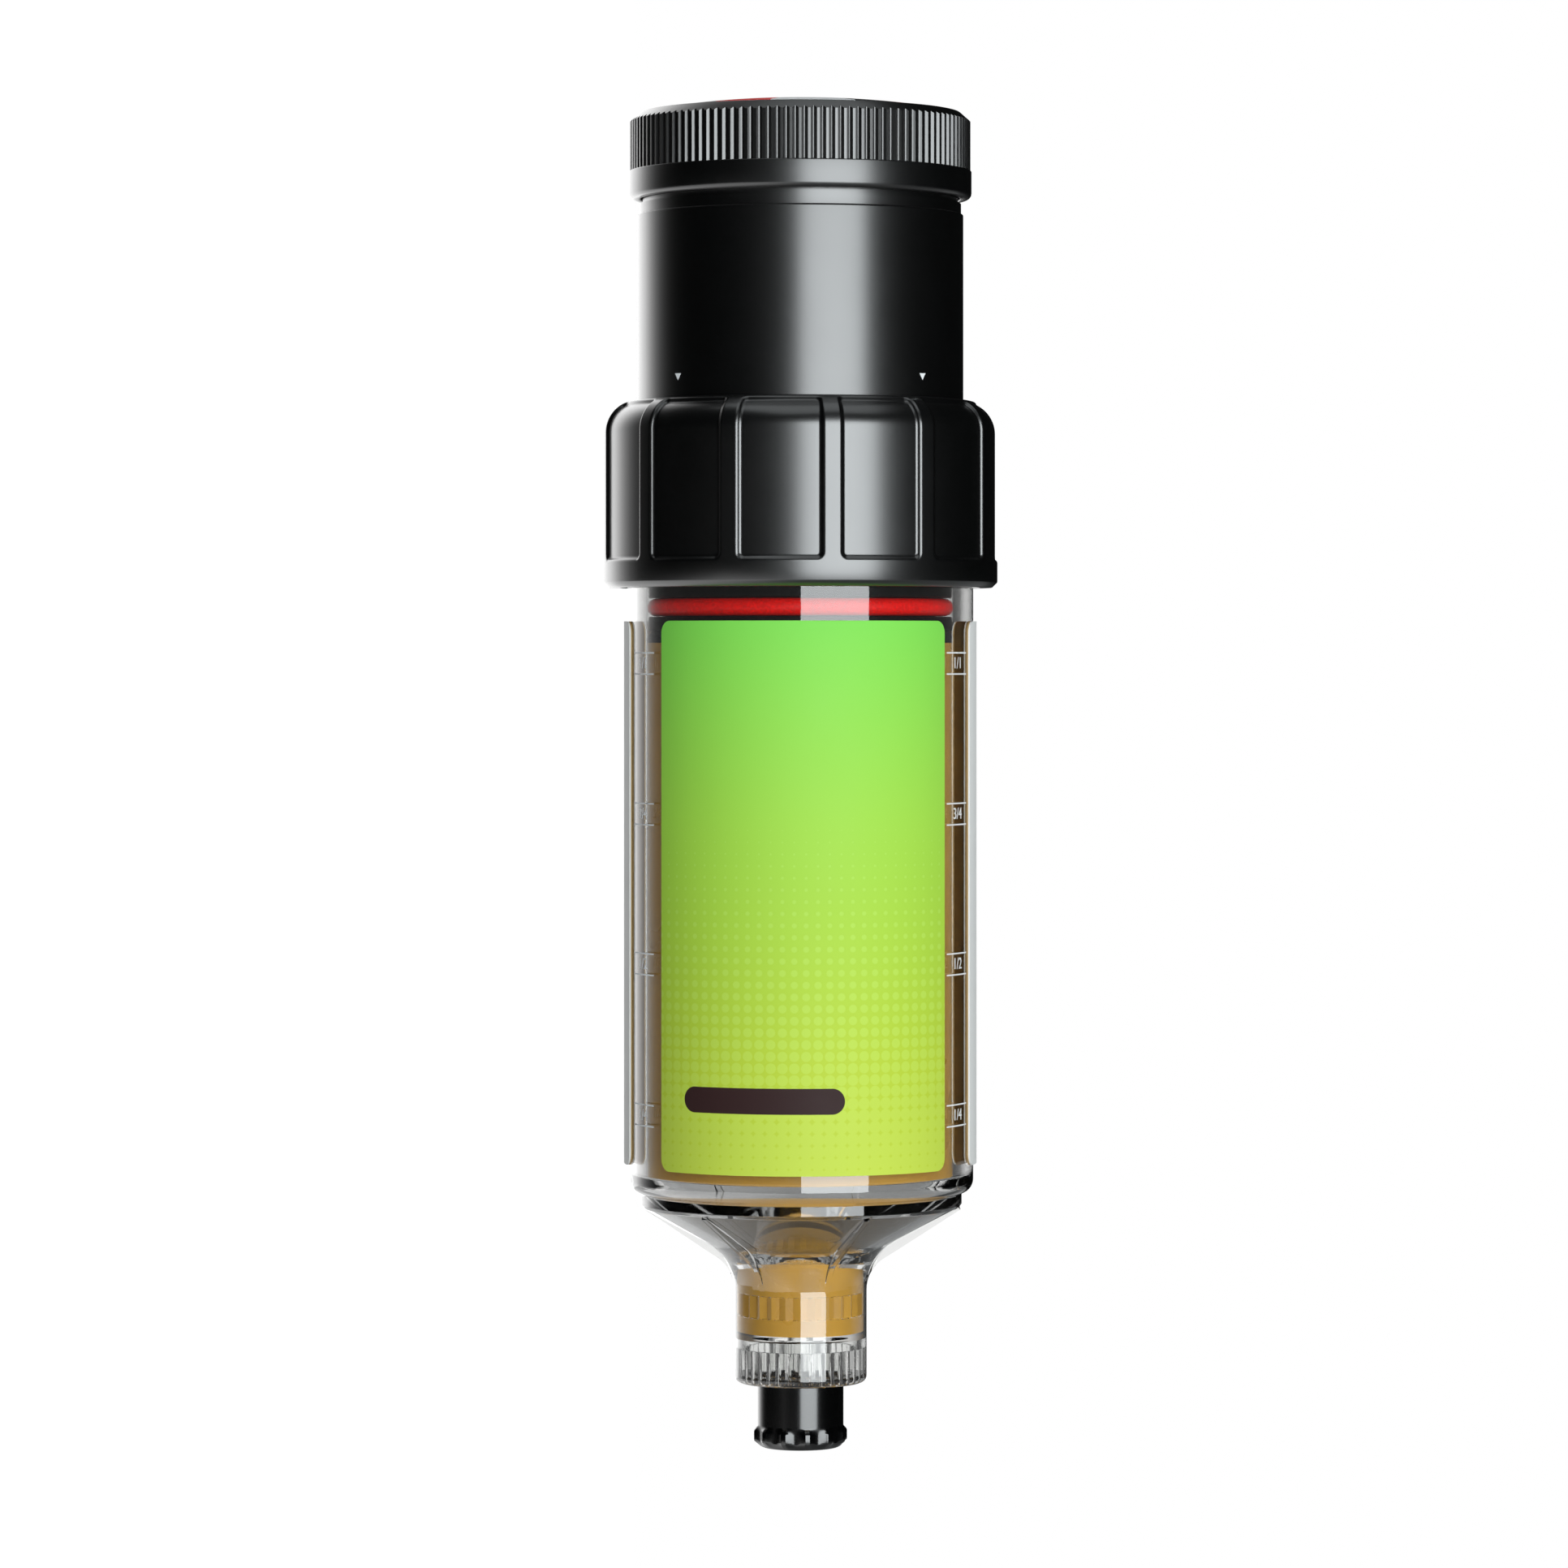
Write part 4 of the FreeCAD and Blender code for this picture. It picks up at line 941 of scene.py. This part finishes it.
def label(name, start, end):
    """A thin plate bent round the barrel between two azimuths, with rounded corners."""
    rows = 10
    columns = int((end - start) / 1.5)
    corner_turn = math.degrees(label_corner / label_r)
    turns = [start + corner_turn * (1 - math.cos(math.pi / 2 * i / 8)) for i in range(9)]
    turns += [start + corner_turn + (end - start - 2 * corner_turn) * i / columns
              for i in range(1, columns)]
    turns += [end - corner_turn * (1 - math.cos(math.pi / 2 * (8 - i) / 8)) for i in range(9)]
    verts = []
    for turn in turns:
        share = max(0.0, 1.0 - min(turn - start, end - turn) / corner_turn)
        drop = label_corner * (1 - math.sqrt(max(0.0, 1 - share * share)))
        for i in range(rows + 1):
            height = label_low + drop + (label_high - label_low - 2 * drop) * i / rows
            for radius in (label_r, barrel_r + 0.03):
                verts.append(around_axis(turn, radius, height))
    step = 2 * (rows + 1)
    faces = []
    for column in range(len(turns) - 1):
        a, b = column * step, (column + 1) * step
        for i in range(rows):
            k = 2 * i
            faces.append((a + k, b + k, b + k + 2, a + k + 2))
            faces.append((a + k + 1, a + k + 3, b + k + 3, b + k + 1))
        faces.append((a, a + 1, b + 1, b))
        faces.append((a + step - 2, b + step - 2, b + step - 1, a + step - 1))
    for first in (0, (len(turns) - 1) * step):
        for i in range(rows):
            k = first + 2 * i
            faces.append((k, k + 2, k + 3, k + 1))
    return make_object(name, verts, faces, 50.0)


def labels():
    """The coloured label in front and the wider white one behind."""
    front = label("green_label", *front_label_edges)
    finish(front, "cartridge", "front_print", "front_label")
    rear = label("white_label", *rear_label_edges)
    finish(rear, "cartridge", "rear_print", "rear_label")


def grease():
    """A wetted column under the piston, and the grease in the funnel and the neck."""
    slope = [(r, z) for r, z in reversed(inner_slope(grease_gap)) if z > floor_z]
    foot_r = bore_r - grease_gap - inner_slope_h
    column = lathe("grease_column", guarded([(core_r, floor_z), (foot_r, floor_z)] + slope
                                            + [(grease_r, piston_z), (core_r, piston_z)]))
    finish(column, "cartridge", "grease", "grease_fill")
    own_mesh(column)
    throat = outlet_bore_r + 0.03
    outline = [(0.0, outlet_z), (throat, outlet_z), (throat, rib_low - 0.15),
               (throat, rib_low + 0.05), (throat, rib_high - 0.05), (throat, rib_high + 0.15),
               (throat, cone_z - 0.6), (throat + 0.2, cone_z + 1.0),
               (foot_r - 0.03, floor_z - 0.03), (0.0, floor_z - 0.03)]

    def relief(azimuth, radius, height):
        if abs(radius - throat) < 0.01 and rib_low <= height <= rib_high:
            radius -= rib_depth * wave(azimuth, rib_count)
        return azimuth, radius, height

    funnel = lathe("grease_funnel", guarded(outline), even_azimuths(360), relief)
    finish(funnel, "cartridge", "funnel_grease", "grease_outlet")


def flats_on(radius, name, flats, body):
    """White print on a round wall: flat shapes of (azimuth, height) points."""
    verts = []
    faces = []
    for flat in flats:
        first = len(verts)
        for r in (radius + 0.005, radius + 0.05):
            verts += [around_axis(turn, r, height) for turn, height in flat]
        count = len(flat)
        faces.append(tuple(range(first, first + count)))
        faces.append(tuple(range(first + count, first + 2 * count)))
        for i in range(count):
            j = (i + 1) % count
            faces.append((first + i, first + j, first + count + j, first + count + i))
    finish(make_object(name, verts, faces, 30.0), body, "white_print")


def words_on(radius, name, lines, size, body):
    """White text on a round wall: (text, azimuth of its middle, height of its middle)."""
    parts = []
    for text, turn, height in lines:
        curve = bpy.data.curves.new(name, "FONT")
        curve.body = text
        curve.size = size * MM
        curve.align_x = "CENTER"
        curve.align_y = "CENTER"
        curve.extrude = 0.02 * MM
        curve.resolution_u = 3
        flat = placed(name, curve)
        mesh = plain_mesh(flat)
        bpy.data.objects.remove(flat)
        for vert in mesh.vertices:
            angle = turn + math.degrees(vert.co.x / MM / radius)
            out = radius + 0.03 + vert.co.z / MM
            vert.co = around_axis(angle, out, height + vert.co.y / MM)
        parts.append(mesh)
    work = bmesh.new()
    for mesh in parts:
        work.from_mesh(mesh)
        bpy.data.meshes.remove(mesh)
    joined = bpy.data.meshes.new(name)
    work.to_mesh(joined)
    work.free()
    finish(placed(name, joined), body, "white_print")


def level_marks():
    """Pairs of lines and quarter fractions in the two clear windows between the labels."""
    lines = []
    words = []
    for share, height in level_heights.items():
        for middle in level_azimuths:
            for offset in (-level_half_gap, level_half_gap):
                low = height + offset - level_line_h / 2
                high = height + offset + level_line_h / 2
                turns = [middle - level_half_turn + 1.5 * i for i in range(11)]
                lines += [[(a, low), (b, low), (b, high), (a, high)]
                          for a, b in zip(turns, turns[1:])]
            words.append((share, middle, height))
    flats_on(barrel_r, "level_lines", lines, "cartridge")
    words_on(barrel_r, "level_fractions", words, fraction_size, "cartridge")


def index_marks():
    """Two small triangles that point down at the union ring."""
    flats = []
    half = math.degrees(index_half_w / housing_r)
    for turn in index_azimuths:
        flats.append([(turn - half, index_low + index_h), (turn, index_low),
                      (turn + half, index_low + index_h)])
    flats_on(housing_r, "index_marks", flats, "drive")


# Piston and screw

def piston_parts():
    """Cup with ribs and a groove, and the red ring in the groove that shows the level."""
    groove_low, groove_high = seal_groove
    groove_r = piston_r - seal_groove_depth
    inner_r = groove_r - piston_wall
    plate = piston_z + piston_plate_t
    hub_top = piston_top - 2.0
    wiper_r = bore_r - wiper_w
    wiper_top = piston_z + wiper_h
    skirt = lathe("piston_cup", rounded(
        (core_r, piston_z), (wiper_r, piston_z), (wiper_r, wiper_top), (piston_r, wiper_top, 0.3),
        (piston_r, groove_low, 0.3), (groove_r, groove_low), (groove_r, groove_high),
        (piston_r, groove_high, 0.3), (piston_r, piston_top, 0.5), (inner_r, piston_top, 0.5),
        (inner_r, plate, 0.8), (piston_hub_r, plate, 0.8), (piston_hub_r, hub_top, 0.3),
        (piston_nut_r, hub_top), (piston_nut_r, plate), (core_r, plate)))
    finish(skirt, "piston", "dull_black", "piston")
    web = box_piece("web", piston_hub_r - 0.3, inner_r + 0.2, piston_rib_t, plate - 0.4, hub_top)
    ribs = copied("piston_ribs", web, FINISHES["dull_black"], piston_rib_count, 90.0)
    finish(ribs, "piston", "dull_black")
    half = (seal_high - seal_low) / 2
    ring = lathe("piston_seal", arc(seal_r - half, (seal_high + seal_low) / 2, half, 0.0,
                                    345.0, 23), even_azimuths(240))
    finish(ring, "piston", "red_rubber", "piston_ring")


def box_piece(name, inner, outer, width, low, high, bevel=0.25):
    """A bar that runs outwards from the axis along +X, with rounded edges."""
    half = width / 2 * MM
    verts = [(x * MM, y, z * MM) for x in (inner, outer) for y in (-half, half)
             for z in (low, high)]
    faces = [(0, 1, 3, 2), (4, 6, 7, 5), (0, 4, 5, 1), (2, 3, 7, 6), (0, 2, 6, 4), (1, 5, 7, 3)]
    made = make_object(name, verts, faces, 40.0)
    work = bmesh.new()
    work.from_mesh(made.data)
    bmesh.ops.bevel(work, geom=list(work.edges), offset=bevel * MM, segments=2, affect="EDGES")
    work.to_mesh(made.data)
    work.free()
    return made


def feed_screw():
    """Threaded shaft with a pin at its foot and a socket in its head."""
    head_low = screw_head_low
    socket_low = screw_top - screw_socket_depth
    shaft = lathe("screw_shaft", [
        (0.0, screw_foot), (screw_pin_r - 0.3, screw_foot), (screw_pin_r, screw_foot + 0.3),
        (screw_pin_r, screw_pin_top), (screw_root_r - 0.2, screw_pin_top + 0.2),
        (screw_root_r, screw_pin_top + 0.4), (screw_root_r, head_low - 4.0),
        (screw_r, head_low - 3.3), (screw_r, head_low), (screw_head_r - 0.3, head_low),
        (screw_head_r, head_low + 0.3), (screw_head_r, screw_top - 0.4),
        (screw_head_r - 0.4, screw_top), (screw_socket_r + 0.3, screw_top),
        (screw_socket_r, screw_top - 0.4), (screw_socket_r, socket_low), (0.0, socket_low)],
        even_azimuths(96))
    finish(shaft, "screw", "steel", "feed_screw")
    ridge = thread("screw_thread", FINISHES["steel"], screw_root_r - 0.02, screw_pin_top + 0.9,
                   screw_turns, screw_pitch, screw_r - screw_root_r, 1.9, 0.9)
    finish(ridge, "screw", "steel")


# Union ring

def pocket_azimuths():
    """Azimuths round the ring, close together at the side edges of the hand holds."""
    azimuths = set(even_azimuths(240))
    for i in range(pocket_count):
        middle = pocket_azimuth + 360.0 / pocket_count * i
        for step in range(-1, 23):
            for side in (-1, 1):
                edge = middle + side * (pocket_half - edge_step * step)
                azimuths.add(round(edge % 360.0, 4))
    return sorted(azimuths)


def lock_ring():
    """Ring with rounded hand holds, which run up its wall and over its shoulder."""
    hole = ring_hole_r
    bend_z = ring_high - ring_bend
    turn_end = math.degrees(math.acos(clamp((hole + 0.5 - (ring_r - ring_bend)) / ring_bend)))
    outline = [(ring_bore_r, ring_low + 0.4), (ring_bore_r + 0.4, ring_low),
               (ring_r - ring_chamfer - 0.2, ring_low), (ring_r - ring_chamfer, ring_low + 0.08),
               (ring_r - 0.08, ring_low + ring_chamfer), (ring_r, ring_low + ring_chamfer + 0.2)]
    foot = ring_low + pocket_foot
    outline += [(ring_r, foot - 0.15 + edge_step * i) for i in range(17)]
    outline += [(ring_r, foot + 1.8 + (bend_z - foot - 1.8) * i / 6) for i in range(1, 7)]
    for first, last, steps in ((0.0, 55.0, 14), (55.0, 76.0, 17), (76.0, min(86.0, turn_end), 4)):
        outline += arc(ring_r - ring_bend, bend_z, ring_bend, first, last, steps)[1:]
    top_z = outline[-1][1]
    outline += [(hole + 0.25, top_z + 0.03), (hole, top_z - 0.25)]
    outline += [(hole, ring_seat + 0.1), (hole + 0.1, ring_seat), (ring_bore_r - 0.1, ring_seat),
                (ring_bore_r, ring_seat - 0.1)]

    def relief(azimuth, radius, height):
        if radius < ring_r - ring_bend + 0.6 or height < foot - 2.0 or radius < hole + 1.0:
            return azimuth, radius, height
        aside = off_pitch(azimuth, pocket_count, pocket_azimuth) / 180.0 * math.pi * ring_r
        turn = 0.0
        above = height - foot
        if height > bend_z:
            turn = math.atan2(height - bend_z, radius - (ring_r - ring_bend))
            above = bend_z - foot + turn * ring_bend
        reach_end = bend_z - foot + math.radians(pocket_reach) * ring_bend
        across = math.radians(pocket_half) * ring_r - aside
        along = min(above, reach_end - above)
        inside = min(across, along)
        if max(across, along) < pocket_corner:
            inside = pocket_corner - math.hypot(pocket_corner - across, pocket_corner - along)
        depth = rolled_edge(inside, pocket_slope, pocket_depth)
        return azimuth, radius - depth * math.cos(turn), height - depth * math.sin(turn)

    ring = lathe("union_ring", outline, pocket_azimuths(), relief, sharp=40.0)
    finish(ring, "union_ring", "black_gloss", "lock_ring")


# Drive housing and cover

def drive_housing():
    """Housing wall with its flange, the step under the cover and a threaded collar."""
    flange_top = flange_low + flange_t
    ledge = flange_low + gear_room_h
    step_z = cover_low - step_drop
    collar_low = cover_low - collar_drop
    shell = lathe("housing_wall", rounded(
        (gear_room_r, flange_low), (flange_r, flange_low, 0.2), (flange_r, flange_top, 0.3),
        (housing_r, flange_top, 0.3), (housing_r, step_z, 0.25), (step_r, step_z + 0.1, 0.1),
        (step_r, collar_low), (collar_r, collar_low), (collar_r, neck_top, 0.4),
        (housing_bore_r, neck_top, 0.3), (housing_bore_r, ledge), (gear_room_r, ledge)),
        even_azimuths(256))
    finish(shell, "drive", "black_gloss", "drive_housing")
    ridge = thread("housing_thread", FINISHES["black_gloss"], collar_r - 0.02, cover_low + 3.4,
                   housing_turns, housing_pitch, 0.28, 1.5, 0.7)
    finish(ridge, "drive", "black_gloss")


def cover_ring():
    """Screw cover: a smooth skirt under a band of pointed ribs and a chamfered lip."""
    ledge = lens_low - 0.4
    skirt_high = cover_low + band_h
    body = lathe("cover_body", rounded(
        (cover_bore_r, cover_low, 0.15), (cover_r, cover_low, 1.0),
        (cover_r, skirt_high, 0.2), (knurl_root_r, skirt_high + 0.2),
        (knurl_root_r, lip_height(knurl_root_r)), (lip_r, cover_high, 0.2),
        (lens_r + 0.2, cover_high, 0.2), (lens_r + 0.2, ledge), (lens_ledge_r, ledge, 0.3),
        (lens_ledge_r, ledge - lens_ledge_t, 0.3), (cover_bore_r, ledge - lens_ledge_t)),
        even_azimuths(240))
    finish(body, "cover", "black_matte", "cover_ring")
    tooth = knurl_tooth(skirt_high + 0.05)
    ribs = copied("cover_ribs", tooth, FINISHES["black_matte"], knurl_count)
    finish(ribs, "cover", "black_matte")


def lip_height(radius):
    """Height of the sloping lip above the knurl at a radius."""
    return cover_high - lip_h * (radius - lip_r) / (knurl_r - lip_r)


def knurl_tooth(low):
    """A flat-topped rib and the two half grooves beside it, standing on +X. It ends on the
    sloping lip, which cuts each groove to a pointed arch."""
    half = math.pi * knurl_r / knurl_count
    section = []
    for aside in (0.0, 0.07, 0.14, 0.21, groove_foot, 0.42, groove_half):
        depth = groove_half - aside
        if aside < groove_foot:
            depth = groove_half - groove_foot / 2 - aside ** 2 / (2 * groove_foot)
        section.append((knurl_r - depth, aside - half))
    section += [(radius, -y) for radius, y in reversed(section)]
    section += [(knurl_root_r - 0.05, half), (knurl_root_r - 0.05, -half)]
    verts = [(x * MM, y * MM, low * MM) for x, y in section]
    verts += [(x * MM, y * MM, lip_height(x) * MM) for x, y in section]
    count = len(section)
    faces = [(k, (k + 1) % count, count + (k + 1) % count, count + k) for k in range(count)]
    faces += [tuple(reversed(range(count))), tuple(range(count, 2 * count))]
    return make_object("rib", verts, faces, 30.0)


def dome(radius, rise, low, steps):
    """Points of a shallow dome, from its top out to its edge at the height low."""
    ball = (radius * radius + rise * rise) / (2 * rise)
    places = [radius * i / steps for i in range(steps + 1)]
    return [(r, low + rise - ball + math.sqrt(ball ** 2 - r ** 2)) for r in places]


def cover_lens():
    """Domed window, hollow underneath, on a flat foot, with a dial printed round its top."""
    top = lens_low + lens_edge_t
    over = dome(lens_r, lens_high - top, top, 56)
    under = dome(lens_r - lens_foot_w, lens_high - lens_low - lens_t, lens_low, 16)
    points = over + [(lens_r, top - 0.1), (lens_r, lens_low)] + list(reversed(under))
    window = lathe("window_lens", points, even_azimuths(192), sharp=30.0)
    finish(window, "cover", "lens_clear", "cover_lens")
    band = [(r, z) for r, z in over if dial_inner_r <= r <= dial_outer_r]
    dial = lathe("dial_ring", [(r, z + 0.04) for r, z in band]
                 + [(r, z - 0.02) for r, z in reversed(band)], even_azimuths(180))
    finish(dial, "cover", "dial_print")


# Outlet cap

def outlet_cap():
    """Screw cap with a fluted rim at its foot and a flange at its mouth."""
    low = cap_low
    rim_low = low + cap_rim_low
    rim_high = rim_low + cap_rim_h
    outline = [(0.0, low), (cap_foot_r - 0.3, low), (cap_foot_r, low + 0.15)]
    outline += [(cap_rim_r - 0.05, rim_low - 0.15), (cap_rim_r, rim_low + 0.15),
                (cap_rim_r, rim_high - 0.15), (cap_rim_r - 0.1, rim_high + 0.1),
                (cap_r, rim_high + cap_slope), (cap_r, cap_high - cap_flange_t - 0.3),
                (cap_r + 0.25, cap_high - cap_flange_t),
                (cap_flange_r - 0.2, cap_high - cap_flange_t),
                (cap_flange_r, cap_high - cap_flange_t + 0.2), (cap_flange_r, cap_high - 0.2),
                (cap_flange_r - 0.2, cap_high), (cap_bore_r + 0.3, cap_high),
                (cap_bore_r, cap_high - 0.3), (cap_bore_r, low + cap_floor_t),
                (0.0, low + cap_floor_t)]
    floor_r = cap_foot_r - 0.4

    def relief(azimuth, radius, height):
        if radius <= floor_r or height > rim_high + cap_slope:
            return azimuth, radius, height
        aside = math.radians(off_pitch(azimuth, cap_flutes, cap_azimuth)) * cap_r
        cut = max(0.0, 1.0 - (aside / cap_scallop_w * 2) ** 2)
        return azimuth, min(radius, radius + (cap_r - radius) * cut), height

    cap = lathe("screw_cap", guarded(outline, margin=0.3), even_azimuths(480), relief, sharp=40.0)
    finish(cap, "cap", "cap_black", "outlet_cap")


# Everything else keeps its CAD shape

def dress_nodes():
    """Gives every CAD node the finish that the record names for it."""
    for part in frame["record"]["subparts"]:
        shape = frame["nodes"][part["node"]]
        shape.data.materials.clear()
        shape.data.materials.append(FINISHES[part["material_slot"]])


cartridge_shell()
labels()
level_marks()
grease()
piston_parts()
feed_screw()
lock_ring()
drive_housing()
index_marks()
cover_ring()
cover_lens()
outlet_cap()
dress_nodes()


# Studio

def studio_floor(height, half):
    """A pale floor, which gloss and clear parts see grey, and which can be seen through from
    below."""
    verts = [(-half, -half, height), (half, -half, height), (half, half, height),
             (-half, half, height)]
    made = make_object("studio_floor", verts, [(0, 1, 2, 3)], outward=False)
    material = surface("Studio floor", (0.2, 0.2, 0.2), 0.7, grain=0.2, cloud=0.01, swing=0.02)
    tree = material.node_tree
    shader = tree.nodes["Principled BSDF"]
    path = node(tree, "ShaderNodeLightPath")
    seen = path.outputs["Is Camera Ray"]
    through = path.outputs["Is Transmission Ray"]
    left = maths(tree, "MULTIPLY_ADD", between(tree, own_place(tree)[0], *floor_left_span),
                 floor_left_level, floor_gloss_level)
    mirrored = maths(tree, "MULTIPLY_ADD", through, -floor_dimming,
                     path.outputs["Is Glossy Ray"], clamped=True)
    glow = maths(tree, "MULTIPLY", left, mirrored)
    glow = maths(tree, "MULTIPLY_ADD", through, floor_level, glow)
    glow = maths(tree, "MULTIPLY_ADD", seen, floor_seen_level, glow)
    tree.links.new(glow, shader.inputs["Emission Strength"])
    shader.inputs["Emission Color"].default_value = (1.0, 1.0, 1.0, 1.0)
    tree.links.new(blended(tree, seen, (0.2, 0.2, 0.2, 1), (0.75, 0.75, 0.75, 1)),
                   shader.inputs["Base Color"])
    back = node(tree, "ShaderNodeNewGeometry").outputs["Backfacing"]
    mix_in(material, maths(tree, "MULTIPLY", seen, back),
           node(tree, "ShaderNodeBsdfTransparent"))
    made.data.materials.append(material)


def softbox(name, azimuth, elevation, distance, width, height, power, seen_in_gloss=True):
    """An area lamp at an azimuth from the front, which aims at the middle of the object."""
    middle = Vector((0.0, 0.0, 0.11))
    turn = math.radians(azimuth - 90.0)
    lift = math.radians(elevation)
    away = Vector((math.cos(turn) * math.cos(lift), math.sin(turn) * math.cos(lift),
                   math.sin(lift)))
    lamp = bpy.data.lights.new(name, "AREA")
    lamp.shape = "RECTANGLE"
    lamp.size = width
    lamp.size_y = height
    lamp.energy = power
    lamp.color = (0.93, 0.98, 1.0)
    made = placed(name, lamp)
    made.visible_transmission = False
    made.visible_glossy = seen_in_gloss
    made.location = middle + away * distance
    made.rotation_euler = (-away).to_track_quat("-Z", "Y").to_euler()


def world():
    """A dark studio with a pale wall straight behind and a bright card behind to the left."""
    sky = bpy.data.worlds.new("Studio")
    sky.use_nodes = True
    bpy.context.scene.world = sky
    tree = sky.node_tree
    ground = tree.nodes["Background"]
    path = node(tree, "ShaderNodeLightPath")
    way = node(tree, "ShaderNodeSeparateXYZ", {
        0: node(tree, "ShaderNodeTexCoord").outputs["Generated"]})
    through = path.outputs["Is Transmission Ray"]
    behind = maths(tree, "POWER", between(tree, way.outputs[1], *card_span), card_falloff)
    left = between(tree, way.outputs[0], *card_edge)
    card = maths(tree, "MULTIPLY", maths(tree, "MULTIPLY", behind, left), card_level)
    card = maths(tree, "MULTIPLY", card, maths(tree, "MULTIPLY_ADD", through, -card_dimming, 1.0))
    wall = maths(tree, "MULTIPLY", between(tree, way.outputs[1], *wall_span), through)
    dark = maths(tree, "MULTIPLY_ADD", through, dark_level_through, dark_level)
    level = maths(tree, "MAXIMUM", maths(tree, "ADD", card, dark), wall)
    level = maths(tree, "MAXIMUM", level, path.outputs["Is Camera Ray"])
    tree.links.new(level, ground.inputs["Strength"])
    ground.inputs["Color"].default_value = (1.0, 1.0, 1.0, 1.0)


# Levels of the floor as clear parts, gloss and the camera see it
floor_level = 0.13
floor_gloss_level = 0.02
floor_seen_level = 0.4
floor_left_level = 0.8
floor_left_span = (-0.02, -0.3)
floor_dimming = 0.73

# The world, where spans are parts of a direction: y runs behind the object, x to the right
card_level = 1.7
card_span = (0.26, 0.78)
card_falloff = 2.6
card_edge = (0.02, -0.06)
card_dimming = 0.72
wall_span = (0.8, 0.94)
dark_level = 0.002
dark_level_through = 0.1

world()
studio_floor(-0.3, 1.2)
softbox("front_softbox", 23.0, 4.0, 1.2, 1.0, 0.9, 14.6)
softbox("top_softbox", 23.0, 80.0, 1.0, 0.9, 0.9, 1.8)
softbox("right_fill", 75.0, 8.0, 1.3, 0.8, 0.8, 2.4, seen_in_gloss=False)
softbox("rear_fill", 165.0, 12.0, 1.4, 0.8, 0.8, 9.0, seen_in_gloss=False)
softbox("left_fill", -22.0, 8.0, 1.3, 0.8, 0.8, 4.8, seen_in_gloss=False)

# Camera at the photograph's viewing angle
eye = bpy.data.cameras.new("Camera")
eye.sensor_width = 36.0
eye.lens = 139.7
eye.shift_x = -0.01035
eye.shift_y = -0.0833
eye.clip_end = 20.0
camera = placed("Camera", eye)
camera.location = (0.0, -1.105, 0.1310)
camera.rotation_euler = (math.radians(90.0), 0.0, 0.0)
bpy.context.scene.camera = camera
bpy.context.scene.view_settings.view_transform = "Standard"
